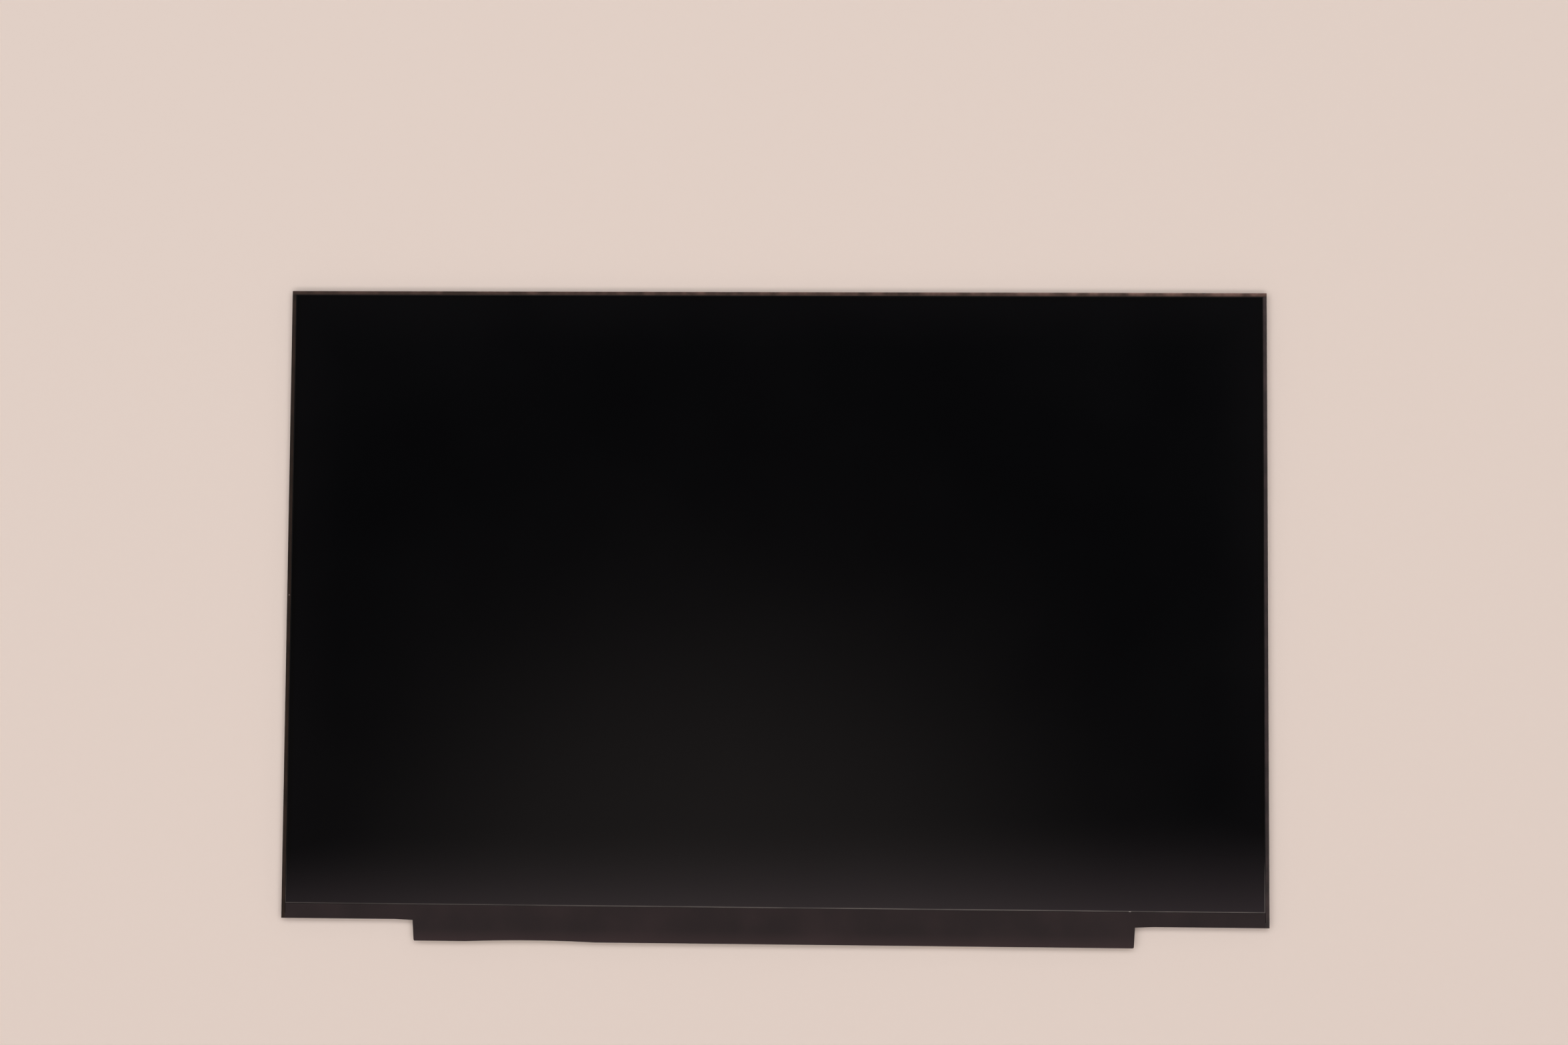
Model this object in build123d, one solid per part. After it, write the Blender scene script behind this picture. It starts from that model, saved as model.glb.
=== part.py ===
# Laptop screen panel: a slim edge-lit display module with its control board on a tab below the glass.
# It lies on its back: X runs right along the screen, Y up the screen and Z out of its face.
# The origin is the middle of the picture area, on the plane of the rear cover's outer face.
# All sizes are in millimetres.

import os
from build123d import *

# Screen and outline
ACTIVE_WIDTH = 301.6            # picture area of a 14.0 inch, 16:10 screen
ACTIVE_HEIGHT = 188.5
POLARISER_MARGIN = 1.45         # front polariser past the picture area, on all four sides
RIM_WIDTH = 1.25                # front polariser to the outline, at the left, right and top
CHIN_HEIGHT = 4.6               # front polariser to the outline, at the bottom
EAR_LENGTH = 41.3               # outline's side to the root of the tab over the control board
TAB_DROP = 6.6
TAB_TAPER = 0.4                 # each side of the tab leans in, from its root to its lower edge
TAB_RADIUS = 0.4
FLARE_LENGTH = 5.5              # the chin's lower edge dips towards the tab's root
FLARE_DROP = 0.25
WAVE_INSET = 37.0               # middle of a shallow wave in the tab's lower edge, from its left side
WAVE_LENGTH = 40.0
WAVE_RISE = 0.45

# Sheet thicknesses, from the back to the front
COVER_SHEET = 0.25
REFLECTOR_SHEET = 0.11
GUIDE_SHEET = 0.40
DIFFUSER_SHEET = 0.10
PRISM_SHEET = 0.12
RIM_TAPE_SHEET = 0.05
REAR_POLARISER_SHEET = 0.13
GLASS_SHEET = 0.30
FRONT_POLARISER_SHEET = 0.15
EDGE_TAPE_SHEET = 0.06
BEZEL_FILM_SHEET = 0.08
BOARD_SHEET = 0.50
DRIVER_FLEX_SHEET = 0.08
LED_FLEX_SHEET = 0.10
FOIL_SHEET = 0.06

# Rear cover
COVER_INSET = 0.14              # inside the mid frame's outer faces
BORDER_WIDTH = 4.0              # at the left, right and top
BORDER_BOTTOM = 8.0
FIELD_RADIUS = 3.0
FIELD_CHAMFER = 0.05

# Mid frame
FRAME_WALL = 0.55               # upstand around the glass
GLASS_CLEARANCE = 0.09
EAR_WALL = 1.45                 # upstand below the glass, at both sides of the tab
LEDGE_CLEARANCE = 0.15          # between that upstand and the driver ledge of the glass
EAR_SETBACK = 1.9               # from the tab's side to the end of the lower upstand
LUG_LENGTH = 5.0
LUG_WIDTH = 0.9
LUG_INSET = 1.0                 # lug's middle inside the frame's outer face
LUG_RECESS = 0.03
LUG_CLEARANCE = 0.10
SIDE_LUGS = 4
TOP_LUGS = 6
BOTTOM_LUGS = 6

# Backlight
GUIDE_MARGIN = 0.55             # light guide and sheets past the picture area
GUIDE_CLEARANCE = 0.15
LIGHT_RUN = 3.05                # picture area to the lit edge of the light guide
SHEET_RUN = 0.75                # picture area to the lower edge of the sheets
SHEET_CLEARANCE = 0.10
LED_LENGTH = 3.8
LED_DEPTH = 0.85
LED_PITCH = 6.2
LED_GAP = 0.05                  # LED face to the light guide
LED_LIFT = 0.02                 # LED clear of the reflector
LED_CLEARANCE = 0.10            # LED back to the frame's rail
TAIL_PLACE = -40.0              # flex tail along X
TAIL_WIDTH = 9.0
TAIL_CLEARANCE = 0.04
TAIL_RAMP = 0.70
TAIL_BOND = 2.4                 # soldered length on the board

# Cell
RIM_TAPE_MARGIN = 0.40          # window of the rim tape past the picture area
RIM_TAPE_CLEARANCE = 0.15
RIM_TAPE_BOTTOM = 3.0           # lower strip of the rim tape
FILTER_OVERLAP = 0.60           # colour filter glass past the polariser, at the bottom

# Tapes and foils
TAPE_GAP = 0.10                 # polariser's edge to the tapes and the bezel film
TAPE_JOINT = 0.05               # between two tapes at a corner
TAPE_REAR_WIDTH = 3.2
TAPE_RECESS = 0.04              # tapes and foils inside the plane of the rear cover's field
FOIL_WIDTH = 10.0
FOIL_INSET = 8.0                # foil's middle inside the board's end
FOIL_RUN = 6.0                  # on the rear cover's border
FOIL_CLEARANCE = 0.05           # bend outside the outline
FOIL_RAMP = 1.5
FOIL_BOND = 3.0                 # on the board

# Control board and driver flexes
BOARD_GAP = 0.2                 # below the outline
BOARD_INSET = 0.5               # inside the tab's lower corners and edge
BOARD_RADIUS = 0.5
FLEX_COUNT = 4
FLEX_WIDTH = 40.0
FLEX_GLASS_BOND = 1.0
FLEX_BOARD_BOND = 1.7
FLEX_RAMP = 0.60
FLEX_CLEARANCE = 0.05           # end of the ramp to the board's edge
DRIVER_CHIP_LENGTH = 20.0
DRIVER_CHIP_DEPTH = 0.75
DRIVER_CHIP_HEIGHT = 0.25
DRIVER_CHIP_GAP = 0.10          # below the edge of the TFT glass

# Socket for the display cable, on the back of the board
SOCKET_PLACE = 55.0             # socket's middle along X
SOCKET_SETBACK = 0.20           # mouth inside the board's lower edge
SOCKET_DEPTH = 3.4
SOCKET_FLOOR = 0.25
SLOT_HEIGHT = 0.45
SLOT_DEPTH = 2.4
SLOT_MARGIN = 0.40              # slot past the last contact
SOCKET_ROOF = 0.20
SOCKET_END = 0.70
CONTACT_COUNT = 40
CONTACT_PITCH = 0.50
CONTACT_WIDTH = 0.20
CONTACT_SHEET = 0.10
CONTACT_SETBACK = 0.40          # contact tips inside the mouth
CONTACT_REACH = 0.30            # out of the socket's back
CONTACT_FOOT = 0.60
SHELL_SHEET = 0.12
SHELL_DEPTH = 2.6
SHELL_FOOT = 0.80

# Chips on the back of the board: length along X, depth along Y, height
CHIP_SIZES = {
    "timing_controller": (7.0, 4.4, 0.85),
    "power_chip": (4.0, 4.0, 0.75),
    "led_driver_chip": (4.0, 4.0, 0.75),
    "level_shifter_chip": (3.5, 3.5, 0.75),
    "memory_chip": (3.0, 2.0, 0.60),
}
# Middle of each chip along X
CHIP_PLACES = {
    "timing_controller": 8.0,
    "power_chip": -16.0,
    "led_driver_chip": -58.0,
    "level_shifter_chip": 34.0,
    "memory_chip": 22.0,
}
CHIP_CHAMFER = 0.08
POWER_CHIPS = ("power_chip", "led_driver_chip")     # each has an inductor and a diode beside it
INDUCTOR_SIDE = 4.0
INDUCTOR_HEIGHT = 1.2
INDUCTOR_RADIUS = 0.8
DIODE_LENGTH = 2.6
DIODE_DEPTH = 1.6
DIODE_HEIGHT = 0.90
CAPACITOR_HEIGHT = 0.50
RESISTOR_HEIGHT = 0.35
PASSIVE_LENGTH = 1.0            # capacitors and resistors, along Y
PASSIVE_WIDTH = 0.5
PASSIVE_PITCH = 1.1
PASSIVE_GAP = 0.5               # between a chip and what stands beside it
PASSIVE_ROW = 1.3               # from the board's middle line to each row
PASSIVES_PER_SIDE = 3

# Levels along Z
z_border_back = max(EDGE_TAPE_SHEET, FOIL_SHEET) + TAPE_RECESS
z_border_front = z_border_back + COVER_SHEET
z_guide_back = z_border_front + REFLECTOR_SHEET
z_guide_front = z_guide_back + GUIDE_SHEET
z_prism_back = z_guide_front + DIFFUSER_SHEET
z_prism_middle = z_prism_back + PRISM_SHEET
z_prism_front = z_prism_middle + PRISM_SHEET
z_step = z_prism_front + DIFFUSER_SHEET
z_cell_back = z_step + RIM_TAPE_SHEET
z_glass_back = z_cell_back + REAR_POLARISER_SHEET
z_ledge = z_glass_back + GLASS_SHEET
z_filter = z_ledge + GLASS_SHEET
z_screen = z_filter + FRONT_POLARISER_SHEET
z_board_front = z_filter - DRIVER_FLEX_SHEET
z_board_back = z_board_front - BOARD_SHEET
z_led_flex_front = z_guide_front + LED_FLEX_SHEET

# Places along X, from the middle
x_active = ACTIVE_WIDTH / 2
x_polariser = x_active + POLARISER_MARGIN
x_outline = x_polariser + RIM_WIDTH
x_frame = x_outline - EDGE_TAPE_SHEET
x_upstand = x_frame - FRAME_WALL
x_glass = x_upstand - GLASS_CLEARANCE
x_guide = x_active + GUIDE_MARGIN
x_step = x_guide + GUIDE_CLEARANCE
x_cover = x_frame - COVER_INSET
x_tab = x_outline - EAR_LENGTH
x_tab_low = x_tab - TAB_TAPER
x_board = x_tab_low - BOARD_INSET

# Places along Y
y_active = ACTIVE_HEIGHT / 2
y_polariser = y_active + POLARISER_MARGIN
y_outline_top = y_polariser + RIM_WIDTH
y_outline_bottom = -y_polariser - CHIN_HEIGHT
y_frame_top = y_outline_top - EDGE_TAPE_SHEET
y_upstand_top = y_frame_top - FRAME_WALL
y_glass_top = y_upstand_top - GLASS_CLEARANCE
y_filter_bottom = -y_polariser - FILTER_OVERLAP
y_ear = y_outline_bottom + EAR_WALL
y_ledge_bottom = y_ear + LEDGE_CLEARANCE
y_guide_top = y_active + GUIDE_MARGIN
y_step_top = y_guide_top + GUIDE_CLEARANCE
y_guide_bottom = -y_active - LIGHT_RUN
y_sheet_bottom = -y_active - SHEET_RUN
y_shelf = y_sheet_bottom - SHEET_CLEARANCE
y_led_front = y_guide_bottom - LED_GAP
y_led_back = y_led_front - LED_DEPTH
y_rail = y_led_back - LED_CLEARANCE
y_cover_top = y_frame_top - COVER_INSET
y_cover_bottom = y_outline_bottom + COVER_INSET
y_tab_bottom = y_outline_bottom - TAB_DROP
y_board_bottom = y_tab_bottom + BOARD_INSET
y_board_top = y_outline_bottom - BOARD_GAP
y_board_middle = (y_board_bottom + y_board_top) / 2
y_tape_top = y_polariser + TAPE_GAP
y_film_top = -y_polariser - TAPE_GAP
y_mouth = y_board_bottom + SOCKET_SETBACK
y_socket_back = y_mouth + SOCKET_DEPTH


def block(x_range, y_range, z_range):
    """A box between the given limits on each axis."""
    low, high = zip(x_range, y_range, z_range)
    size = [b - a for a, b in zip(low, high)]
    middle = [(a + b) / 2 for a, b in zip(low, high)]
    return Pos(*middle) * Box(*size)


def span(middle, length):
    """The two ends of a length about its middle."""
    return middle - length / 2, middle + length / 2


def both(half):
    """The two ends of a symmetric span."""
    return -half, half


def spread(count, length):
    """Middles of equal shares of a length, about zero."""
    return [length * ((i + 0.5) / count - 0.5) for i in range(count)]


def joggled_strip(x_range, sheet, y_stops, z_levels):
    """A strip that runs down Y at one level, bends to another in two equal arcs and runs on there."""
    y_start, y_leave, y_arrive, y_end = y_stops
    z_from, z_to = z_levels
    start, leave = (y_start, z_from), (y_leave, z_from)
    arrive, end = (y_arrive, z_to), (y_end, z_to)
    middle = ((y_leave + y_arrive) / 2, (z_from + z_to) / 2)
    first_bend = TangentArc(leave, middle, tangent=(-1, 0))
    second_bend = TangentArc(arrive, middle, tangent=(1, 0))
    line = Line(start, leave) + first_bend + second_bend + Line(arrive, end)
    section = Plane.YZ * trace(line, sheet)
    return Pos(x_range[0], 0, 0) * extrude(section, x_range[1] - x_range[0])


def group(pieces):
    """Separate solids of one kind, kept together."""
    return Compound([piece.solid() for piece in pieces])


def lug_plans():
    """Plan of every lug: its middle and its size along X and Y."""
    x_side = x_frame - LUG_INSET
    y_top = y_frame_top - LUG_INSET
    y_bottom = y_outline_bottom + LUG_INSET
    for y in spread(SIDE_LUGS, y_frame_top - y_outline_bottom):
        for x in both(x_side):
            yield x, y + (y_frame_top + y_outline_bottom) / 2, LUG_WIDTH, LUG_LENGTH
    for x in spread(TOP_LUGS, 2 * x_frame):
        yield x, y_top, LUG_LENGTH, LUG_WIDTH
    for x in spread(BOTTOM_LUGS, 2 * x_frame):
        yield x, y_bottom, LUG_LENGTH, LUG_WIDTH


def field_plan(inset):
    """Rounded plan of the rear cover's drawn field, or of its inside."""
    x_field = x_cover - BORDER_WIDTH - inset
    y_low = y_cover_bottom + BORDER_BOTTOM + inset
    y_high = y_cover_top - BORDER_WIDTH - inset
    plan = RectangleRounded(2 * x_field, y_high - y_low, FIELD_RADIUS - inset)
    return Pos(0, (y_low + y_high) / 2) * plan


def rear_cover():
    """Aluminium sheet: a flat border, a field drawn back from it and windows for the frame's lugs."""
    cover = block(both(x_cover), (y_cover_bottom, y_cover_top), (z_border_back, z_border_front))
    field = extrude(field_plan(0), z_border_front)
    rear_edges = field.edges().group_by(Axis.Z)[0]
    field = chamfer(rear_edges, min(FIELD_CHAMFER, z_border_back / 2))
    cover += field
    cover -= Pos(0, 0, COVER_SHEET) * extrude(field_plan(COVER_SHEET), z_border_front)
    for x, y, length_x, length_y in lug_plans():
        x_window = span(x, length_x + 2 * LUG_CLEARANCE)
        y_window = span(y, length_y + 2 * LUG_CLEARANCE)
        cover -= block(x_window, y_window, (z_border_back, z_border_front))
    return cover


def mid_frame():
    """Black moulded carrier: a step under the glass, an upstand around it and a shelf over the LEDs."""
    y_frame = (y_outline_bottom, y_frame_top)
    frame = block(both(x_frame), y_frame, (z_border_front, z_filter))
    frame -= block(both(x_upstand), (y_ear, y_upstand_top), (z_step, z_filter))
    frame -= block(both(x_tab + EAR_SETBACK), (y_outline_bottom, y_ear), (z_step, z_filter))
    frame -= block(both(x_step), (y_rail, y_step_top), (z_border_front, z_step))
    frame += block(both(x_step), (y_rail, y_shelf), (z_led_flex_front, z_step))
    notch_width = TAIL_WIDTH + 2 * TAIL_CLEARANCE
    notch_height = (z_guide_front - TAIL_CLEARANCE, z_led_flex_front + TAIL_CLEARANCE)
    frame -= block(span(TAIL_PLACE, notch_width), (y_outline_bottom, y_rail), notch_height)
    for x, y, length_x, length_y in lug_plans():
        frame += block(span(x, length_x), span(y, length_y), (z_border_back + LUG_RECESS, z_border_front))
    return frame


def reflector_sheet():
    return block(both(x_guide), (y_led_back, y_guide_top), (z_border_front, z_guide_back))


def light_guide_plate():
    return block(both(x_guide), (y_guide_bottom, y_guide_top), (z_guide_back, z_guide_front))


def optical_sheet(z_back, sheet):
    """One of the sheets between the light guide and the cell."""
    return block(both(x_guide), (y_sheet_bottom, y_guide_top), (z_back, z_back + sheet))


def led_places():
    """Middles of the LEDs along the lit edge."""
    count = int((2 * x_guide - LED_LENGTH) / LED_PITCH) + 1
    return spread(count, count * LED_PITCH)


def leds():
    return group(
        block(span(x, LED_LENGTH), (y_led_back, y_led_front), (z_guide_back + LED_LIFT, z_guide_front))
        for x in led_places()
    )


def led_flex():
    """Flex that carries the LEDs, with a tail soldered to the back of the board."""
    strip = block(both(x_guide), (y_led_back, y_shelf), (z_guide_front, z_led_flex_front))
    y_leave = y_outline_bottom - TAIL_CLEARANCE
    y_arrive = y_leave - TAIL_RAMP
    y_stops = (y_led_back, y_leave, y_arrive, y_arrive - TAIL_BOND)
    z_levels = (z_guide_front + LED_FLEX_SHEET / 2, z_board_back - LED_FLEX_SHEET / 2)
    return strip + joggled_strip(span(TAIL_PLACE, TAIL_WIDTH), LED_FLEX_SHEET, y_stops, z_levels)


def rim_tape():
    """Black tape frame that holds the glass on the step and masks the edge of the light."""
    x_outer = x_upstand - RIM_TAPE_CLEARANCE
    y_outer_top = y_upstand_top - RIM_TAPE_CLEARANCE
    y_window = y_active + RIM_TAPE_MARGIN
    z_range = (z_step, z_cell_back)
    tape = block(both(x_outer), (-y_window - RIM_TAPE_BOTTOM, y_outer_top), z_range)
    return tape - block(both(x_active + RIM_TAPE_MARGIN), both(y_window), z_range)


def rear_polariser():
    return block(both(x_polariser), both(y_polariser), (z_cell_back, z_glass_back))


def tft_glass():
    return block(both(x_glass), (y_ledge_bottom, y_glass_top), (z_glass_back, z_ledge))


def colour_filter_glass():
    return block(both(x_glass), (y_filter_bottom, y_glass_top), (z_ledge, z_filter))


def front_polariser():
    return block(both(x_polariser), both(y_polariser), (z_filter, z_screen))


def driver_flex(x):
    """Flex bonded to the ledge of the TFT glass and to the front of the board."""
    y_arrive = y_board_top + FLEX_CLEARANCE
    y_stops = (
        y_ledge_bottom + FLEX_GLASS_BOND,
        y_arrive + FLEX_RAMP,
        y_arrive,
        y_board_top - FLEX_BOARD_BOND,
    )
    z_levels = (z_ledge + DRIVER_FLEX_SHEET / 2, z_board_front + DRIVER_FLEX_SHEET / 2)
    return joggled_strip(span(x, FLEX_WIDTH), DRIVER_FLEX_SHEET, y_stops, z_levels)


def driver_chip(x):
    """Bare driver chip on the back of its flex, just below the glass."""
    y_high = y_ledge_bottom - DRIVER_CHIP_GAP
    y_range = (y_high - DRIVER_CHIP_DEPTH, y_high)
    return block(span(x, DRIVER_CHIP_LENGTH), y_range, (z_ledge - DRIVER_CHIP_HEIGHT, z_ledge))


def control_board():
    board = block(both(x_board), (y_board_bottom, y_board_top), (z_board_back, z_board_front))
    return fillet(board.edges().filter_by(Axis.Z), BOARD_RADIUS)


def contact_places():
    return [SOCKET_PLACE + x for x in spread(CONTACT_COUNT, CONTACT_COUNT * CONTACT_PITCH)]


def contact_beam(x):
    """Straight run of one contact, on the slot's floor and through the socket's back."""
    z_floor = z_board_back - SOCKET_FLOOR
    y_range = (y_mouth + CONTACT_SETBACK, y_socket_back + CONTACT_REACH)
    return block(span(x, CONTACT_WIDTH), y_range, (z_floor - CONTACT_SHEET, z_floor))


def contact(x):
    y_out = y_socket_back + CONTACT_REACH
    y_riser = (y_out - CONTACT_SHEET, y_out)
    y_foot = (y_out - CONTACT_SHEET, y_out + CONTACT_FOOT)
    z_beam = z_board_back - SOCKET_FLOOR - CONTACT_SHEET
    riser = block(span(x, CONTACT_WIDTH), y_riser, (z_beam, z_board_back))
    foot = block(span(x, CONTACT_WIDTH), y_foot, (z_board_back - CONTACT_SHEET, z_board_back))
    return contact_beam(x) + riser + foot


def connector_contacts():
    return group(contact(x) for x in contact_places())


def slot_width():
    return (CONTACT_COUNT - 1) * CONTACT_PITCH + CONTACT_WIDTH + 2 * SLOT_MARGIN


def connector_housing():
    """Socket with its mouth along the board's lower edge and a passage for each contact."""
    z_floor = z_board_back - SOCKET_FLOOR
    z_roof = z_floor - SLOT_HEIGHT
    x_range = span(SOCKET_PLACE, slot_width() + 2 * SOCKET_END)
    housing = block(x_range, (y_mouth, y_socket_back), (z_roof - SOCKET_ROOF, z_board_back))
    housing -= block(span(SOCKET_PLACE, slot_width()), (y_mouth, y_mouth + SLOT_DEPTH), (z_roof, z_floor))
    return housing - [contact_beam(x) for x in contact_places()]


def connector_shell():
    """Folded steel cover over the socket, with a leg and a soldered foot at each end."""
    half = slot_width() / 2 + SOCKET_END
    y_range = (y_mouth, y_mouth + SHELL_DEPTH)
    z_under = z_board_back - SOCKET_FLOOR - SLOT_HEIGHT - SOCKET_ROOF
    shell = block(both(half + SHELL_SHEET), y_range, (z_under - SHELL_SHEET, z_under))
    for side in (-1, 1):
        x_leg = sorted((side * half, side * (half + SHELL_SHEET)))
        x_foot = sorted((side * half, side * (half + SHELL_SHEET + SHELL_FOOT)))
        shell += block(x_leg, y_range, (z_under, z_board_back))
        shell += block(x_foot, y_range, (z_board_back - SHELL_SHEET, z_board_back))
    return Pos(SOCKET_PLACE, 0, 0) * shell


def on_board(x, y, length, depth, height):
    """A block soldered to the back of the board."""
    return block(span(x, length), span(y, depth), (z_board_back - height, z_board_back))


def chip(name):
    """Moulded chip, its rear edges softened."""
    body = on_board(CHIP_PLACES[name], y_board_middle, *CHIP_SIZES[name])
    return chamfer(body.faces().sort_by(Axis.Z)[0].edges(), CHIP_CHAMFER)


def passive_reach(name):
    """From a chip's middle to the outer end of the small parts beside it."""
    return CHIP_SIZES[name][0] / 2 + PASSIVE_GAP + PASSIVES_PER_SIDE * PASSIVE_PITCH


def passive_places():
    """Middles along X of the capacitors, and of the resistors, at both sides of each chip."""
    for name, x in CHIP_PLACES.items():
        for i in range(PASSIVES_PER_SIDE):
            reach = passive_reach(name) - (i + 0.5) * PASSIVE_PITCH
            yield x - reach
            yield x + reach


def passives(y, height):
    return group(on_board(x, y, PASSIVE_WIDTH, PASSIVE_LENGTH, height) for x in passive_places())


def inductor_place(name):
    return CHIP_PLACES[name] - passive_reach(name) - PASSIVE_GAP - INDUCTOR_SIDE / 2


def inductor(name):
    body = on_board(inductor_place(name), y_board_middle, INDUCTOR_SIDE, INDUCTOR_SIDE, INDUCTOR_HEIGHT)
    return fillet(body.edges().filter_by(Axis.Z), INDUCTOR_RADIUS)


def diode(name):
    x = inductor_place(name) - INDUCTOR_SIDE / 2 - PASSIVE_GAP - DIODE_LENGTH / 2
    return on_board(x, y_board_middle, DIODE_LENGTH, DIODE_DEPTH, DIODE_HEIGHT)


def right_edge_tape():
    """Tape folded round the right edge, from the glass to the rear cover's border."""
    z_front = (z_filter, z_filter + EDGE_TAPE_SHEET)
    z_rear = (z_border_back - EDGE_TAPE_SHEET, z_border_back)
    y_upper = y_tape_top - TAPE_JOINT
    y_rear_upper = y_outline_top - TAPE_REAR_WIDTH - TAPE_JOINT
    tape = block((x_polariser + TAPE_GAP, x_outline), (y_outline_bottom, y_upper), z_front)
    tape += block((x_frame, x_outline), (y_outline_bottom, y_upper), (z_border_back, z_filter))
    tape += block((x_outline - TAPE_REAR_WIDTH, x_outline), (y_outline_bottom, y_rear_upper), z_rear)
    return tape


def left_edge_tape():
    return mirror(right_edge_tape(), Plane.YZ)


def top_edge_tape():
    """Tape folded round the top edge, with its ends folded round the corners."""
    z_front = (z_filter, z_filter + EDGE_TAPE_SHEET)
    z_rear = (z_border_back - EDGE_TAPE_SHEET, z_border_back)
    z_side = (z_border_back, z_filter)
    tape = block(both(x_outline), (y_tape_top, y_outline_top), z_front)
    tape += block(both(x_outline), (y_frame_top, y_outline_top), z_side)
    tape += block(both(x_outline), (y_outline_top - TAPE_REAR_WIDTH, y_outline_top), z_rear)
    tape += block((x_frame, x_outline), (y_tape_top, y_outline_top), z_side)
    tape += block((-x_outline, -x_frame), (y_tape_top, y_outline_top), z_side)
    return tape


def bezel_film():
    """Black film over the chin and, as a tab, over the control board."""
    x_wave = WAVE_INSET - x_tab
    wave_start = (x_wave - WAVE_LENGTH / 2, y_tab_bottom)
    wave_top = (x_wave, y_tab_bottom + WAVE_RISE)
    wave_end = (x_wave + WAVE_LENGTH / 2, y_tab_bottom)
    left = [
        (-x_polariser, y_film_top),
        (-x_polariser, y_outline_bottom),
        (-x_tab - FLARE_LENGTH, y_outline_bottom),
        (-x_tab, y_outline_bottom - FLARE_DROP),
        (-x_tab_low, y_tab_bottom),
        wave_start,
    ]
    right = [wave_end] + [(-x, y) for x, y in reversed(left[:-1])] + [left[0]]
    outline = Polyline(left) + ThreePointArc(wave_start, wave_top, wave_end) + Polyline(right)
    film = extrude(Pos(0, 0, z_filter) * make_face(outline), BEZEL_FILM_SHEET)
    upright = film.edges().filter_by(Axis.Z)
    corners = [e for e in upright if abs(abs(e.center().X) - x_tab_low) < TAB_RADIUS]
    return fillet([e for e in corners if e.center().Y < y_board_bottom], TAB_RADIUS)


def ground_foil(side):
    """Foil from the rear cover's border to the back of the board, at one end of it."""
    y_leave = y_outline_bottom - FOIL_CLEARANCE
    y_arrive = y_leave - FOIL_RAMP
    y_stops = (y_cover_bottom + FOIL_RUN, y_leave, y_arrive, y_arrive - FOIL_BOND)
    z_levels = (z_border_back - FOIL_SHEET / 2, z_board_back - FOIL_SHEET / 2)
    x_foil = side * (x_board - FOIL_INSET)
    return joggled_strip(span(x_foil, FOIL_WIDTH), FOIL_SHEET, y_stops, z_levels)


nodes = {
    "rear_cover": rear_cover(),
    "mid_frame": mid_frame(),
    "reflector_sheet": reflector_sheet(),
    "light_guide_plate": light_guide_plate(),
    "lower_diffuser_sheet": optical_sheet(z_guide_front, DIFFUSER_SHEET),
    "lower_prism_sheet": optical_sheet(z_prism_back, PRISM_SHEET),
    "upper_prism_sheet": optical_sheet(z_prism_middle, PRISM_SHEET),
    "upper_diffuser_sheet": optical_sheet(z_prism_front, DIFFUSER_SHEET),
    "led_flex": led_flex(),
    "leds": leds(),
    "rim_tape": rim_tape(),
    "rear_polariser": rear_polariser(),
    "tft_glass": tft_glass(),
    "colour_filter_glass": colour_filter_glass(),
    "front_polariser": front_polariser(),
    "control_board": control_board(),
    "connector_housing": connector_housing(),
    "connector_contacts": connector_contacts(),
    "connector_shell": connector_shell(),
    "power_inductors": group(inductor(name) for name in POWER_CHIPS),
    "rectifier_diodes": group(diode(name) for name in POWER_CHIPS),
    "chip_capacitors": passives(y_board_middle + PASSIVE_ROW, CAPACITOR_HEIGHT),
    "chip_resistors": passives(y_board_middle - PASSIVE_ROW, RESISTOR_HEIGHT),
    "left_edge_tape": left_edge_tape(),
    "right_edge_tape": right_edge_tape(),
    "top_edge_tape": top_edge_tape(),
    "bezel_film": bezel_film(),
    "left_ground_foil": ground_foil(-1),
    "right_ground_foil": ground_foil(1),
}
for number, x in enumerate(spread(FLEX_COUNT, 2 * x_board), start=1):
    nodes[f"driver_flex_{number}"] = driver_flex(x)
    nodes[f"driver_chip_{number}"] = driver_chip(x)
for name in CHIP_SIZES:
    nodes[name] = chip(name)

os.makedirs("parts", exist_ok=True)
for name, shape in nodes.items():
    export_step(shape, f"parts/{name}.step")
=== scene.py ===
import bmesh
import bpy
import math
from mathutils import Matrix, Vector, noise


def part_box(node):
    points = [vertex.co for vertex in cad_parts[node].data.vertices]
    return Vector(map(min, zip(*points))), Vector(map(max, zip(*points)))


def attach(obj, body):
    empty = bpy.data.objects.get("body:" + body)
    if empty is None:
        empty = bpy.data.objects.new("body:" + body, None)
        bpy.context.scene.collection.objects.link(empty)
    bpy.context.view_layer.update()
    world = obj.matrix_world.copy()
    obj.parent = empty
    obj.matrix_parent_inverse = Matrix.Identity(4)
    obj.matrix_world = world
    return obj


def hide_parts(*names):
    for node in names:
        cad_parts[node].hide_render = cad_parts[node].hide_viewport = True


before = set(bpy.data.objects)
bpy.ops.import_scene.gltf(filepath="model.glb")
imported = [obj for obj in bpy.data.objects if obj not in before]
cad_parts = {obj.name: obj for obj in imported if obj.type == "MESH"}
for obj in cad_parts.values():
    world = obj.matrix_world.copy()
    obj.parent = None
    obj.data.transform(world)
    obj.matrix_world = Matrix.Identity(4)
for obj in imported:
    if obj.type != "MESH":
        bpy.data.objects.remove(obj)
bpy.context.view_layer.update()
mm = 0.001
slack = 0.004 * mm      # for picking edges and faces by their place
hairline = slack / 10   # for cuts, and for the slivers that two bevels leave
sharp = math.radians(60)
flat = 0.999            # least upward part of a flat face's normal
cloudSpan = (0.36, 0.66)    # of the noise, for the contrast of the mottled finishes
print("frame:", len(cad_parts), "solids loaded")


# Helpers for finishes

def linearColour(hexText):
    channels = [int(hexText[i:i + 2], 16) / 255 for i in (1, 3, 5)]
    return [c / 12.92 if c <= 0.04045 else ((c + 0.055) / 1.055) ** 2.4 for c in channels] + [1.0]


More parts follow.
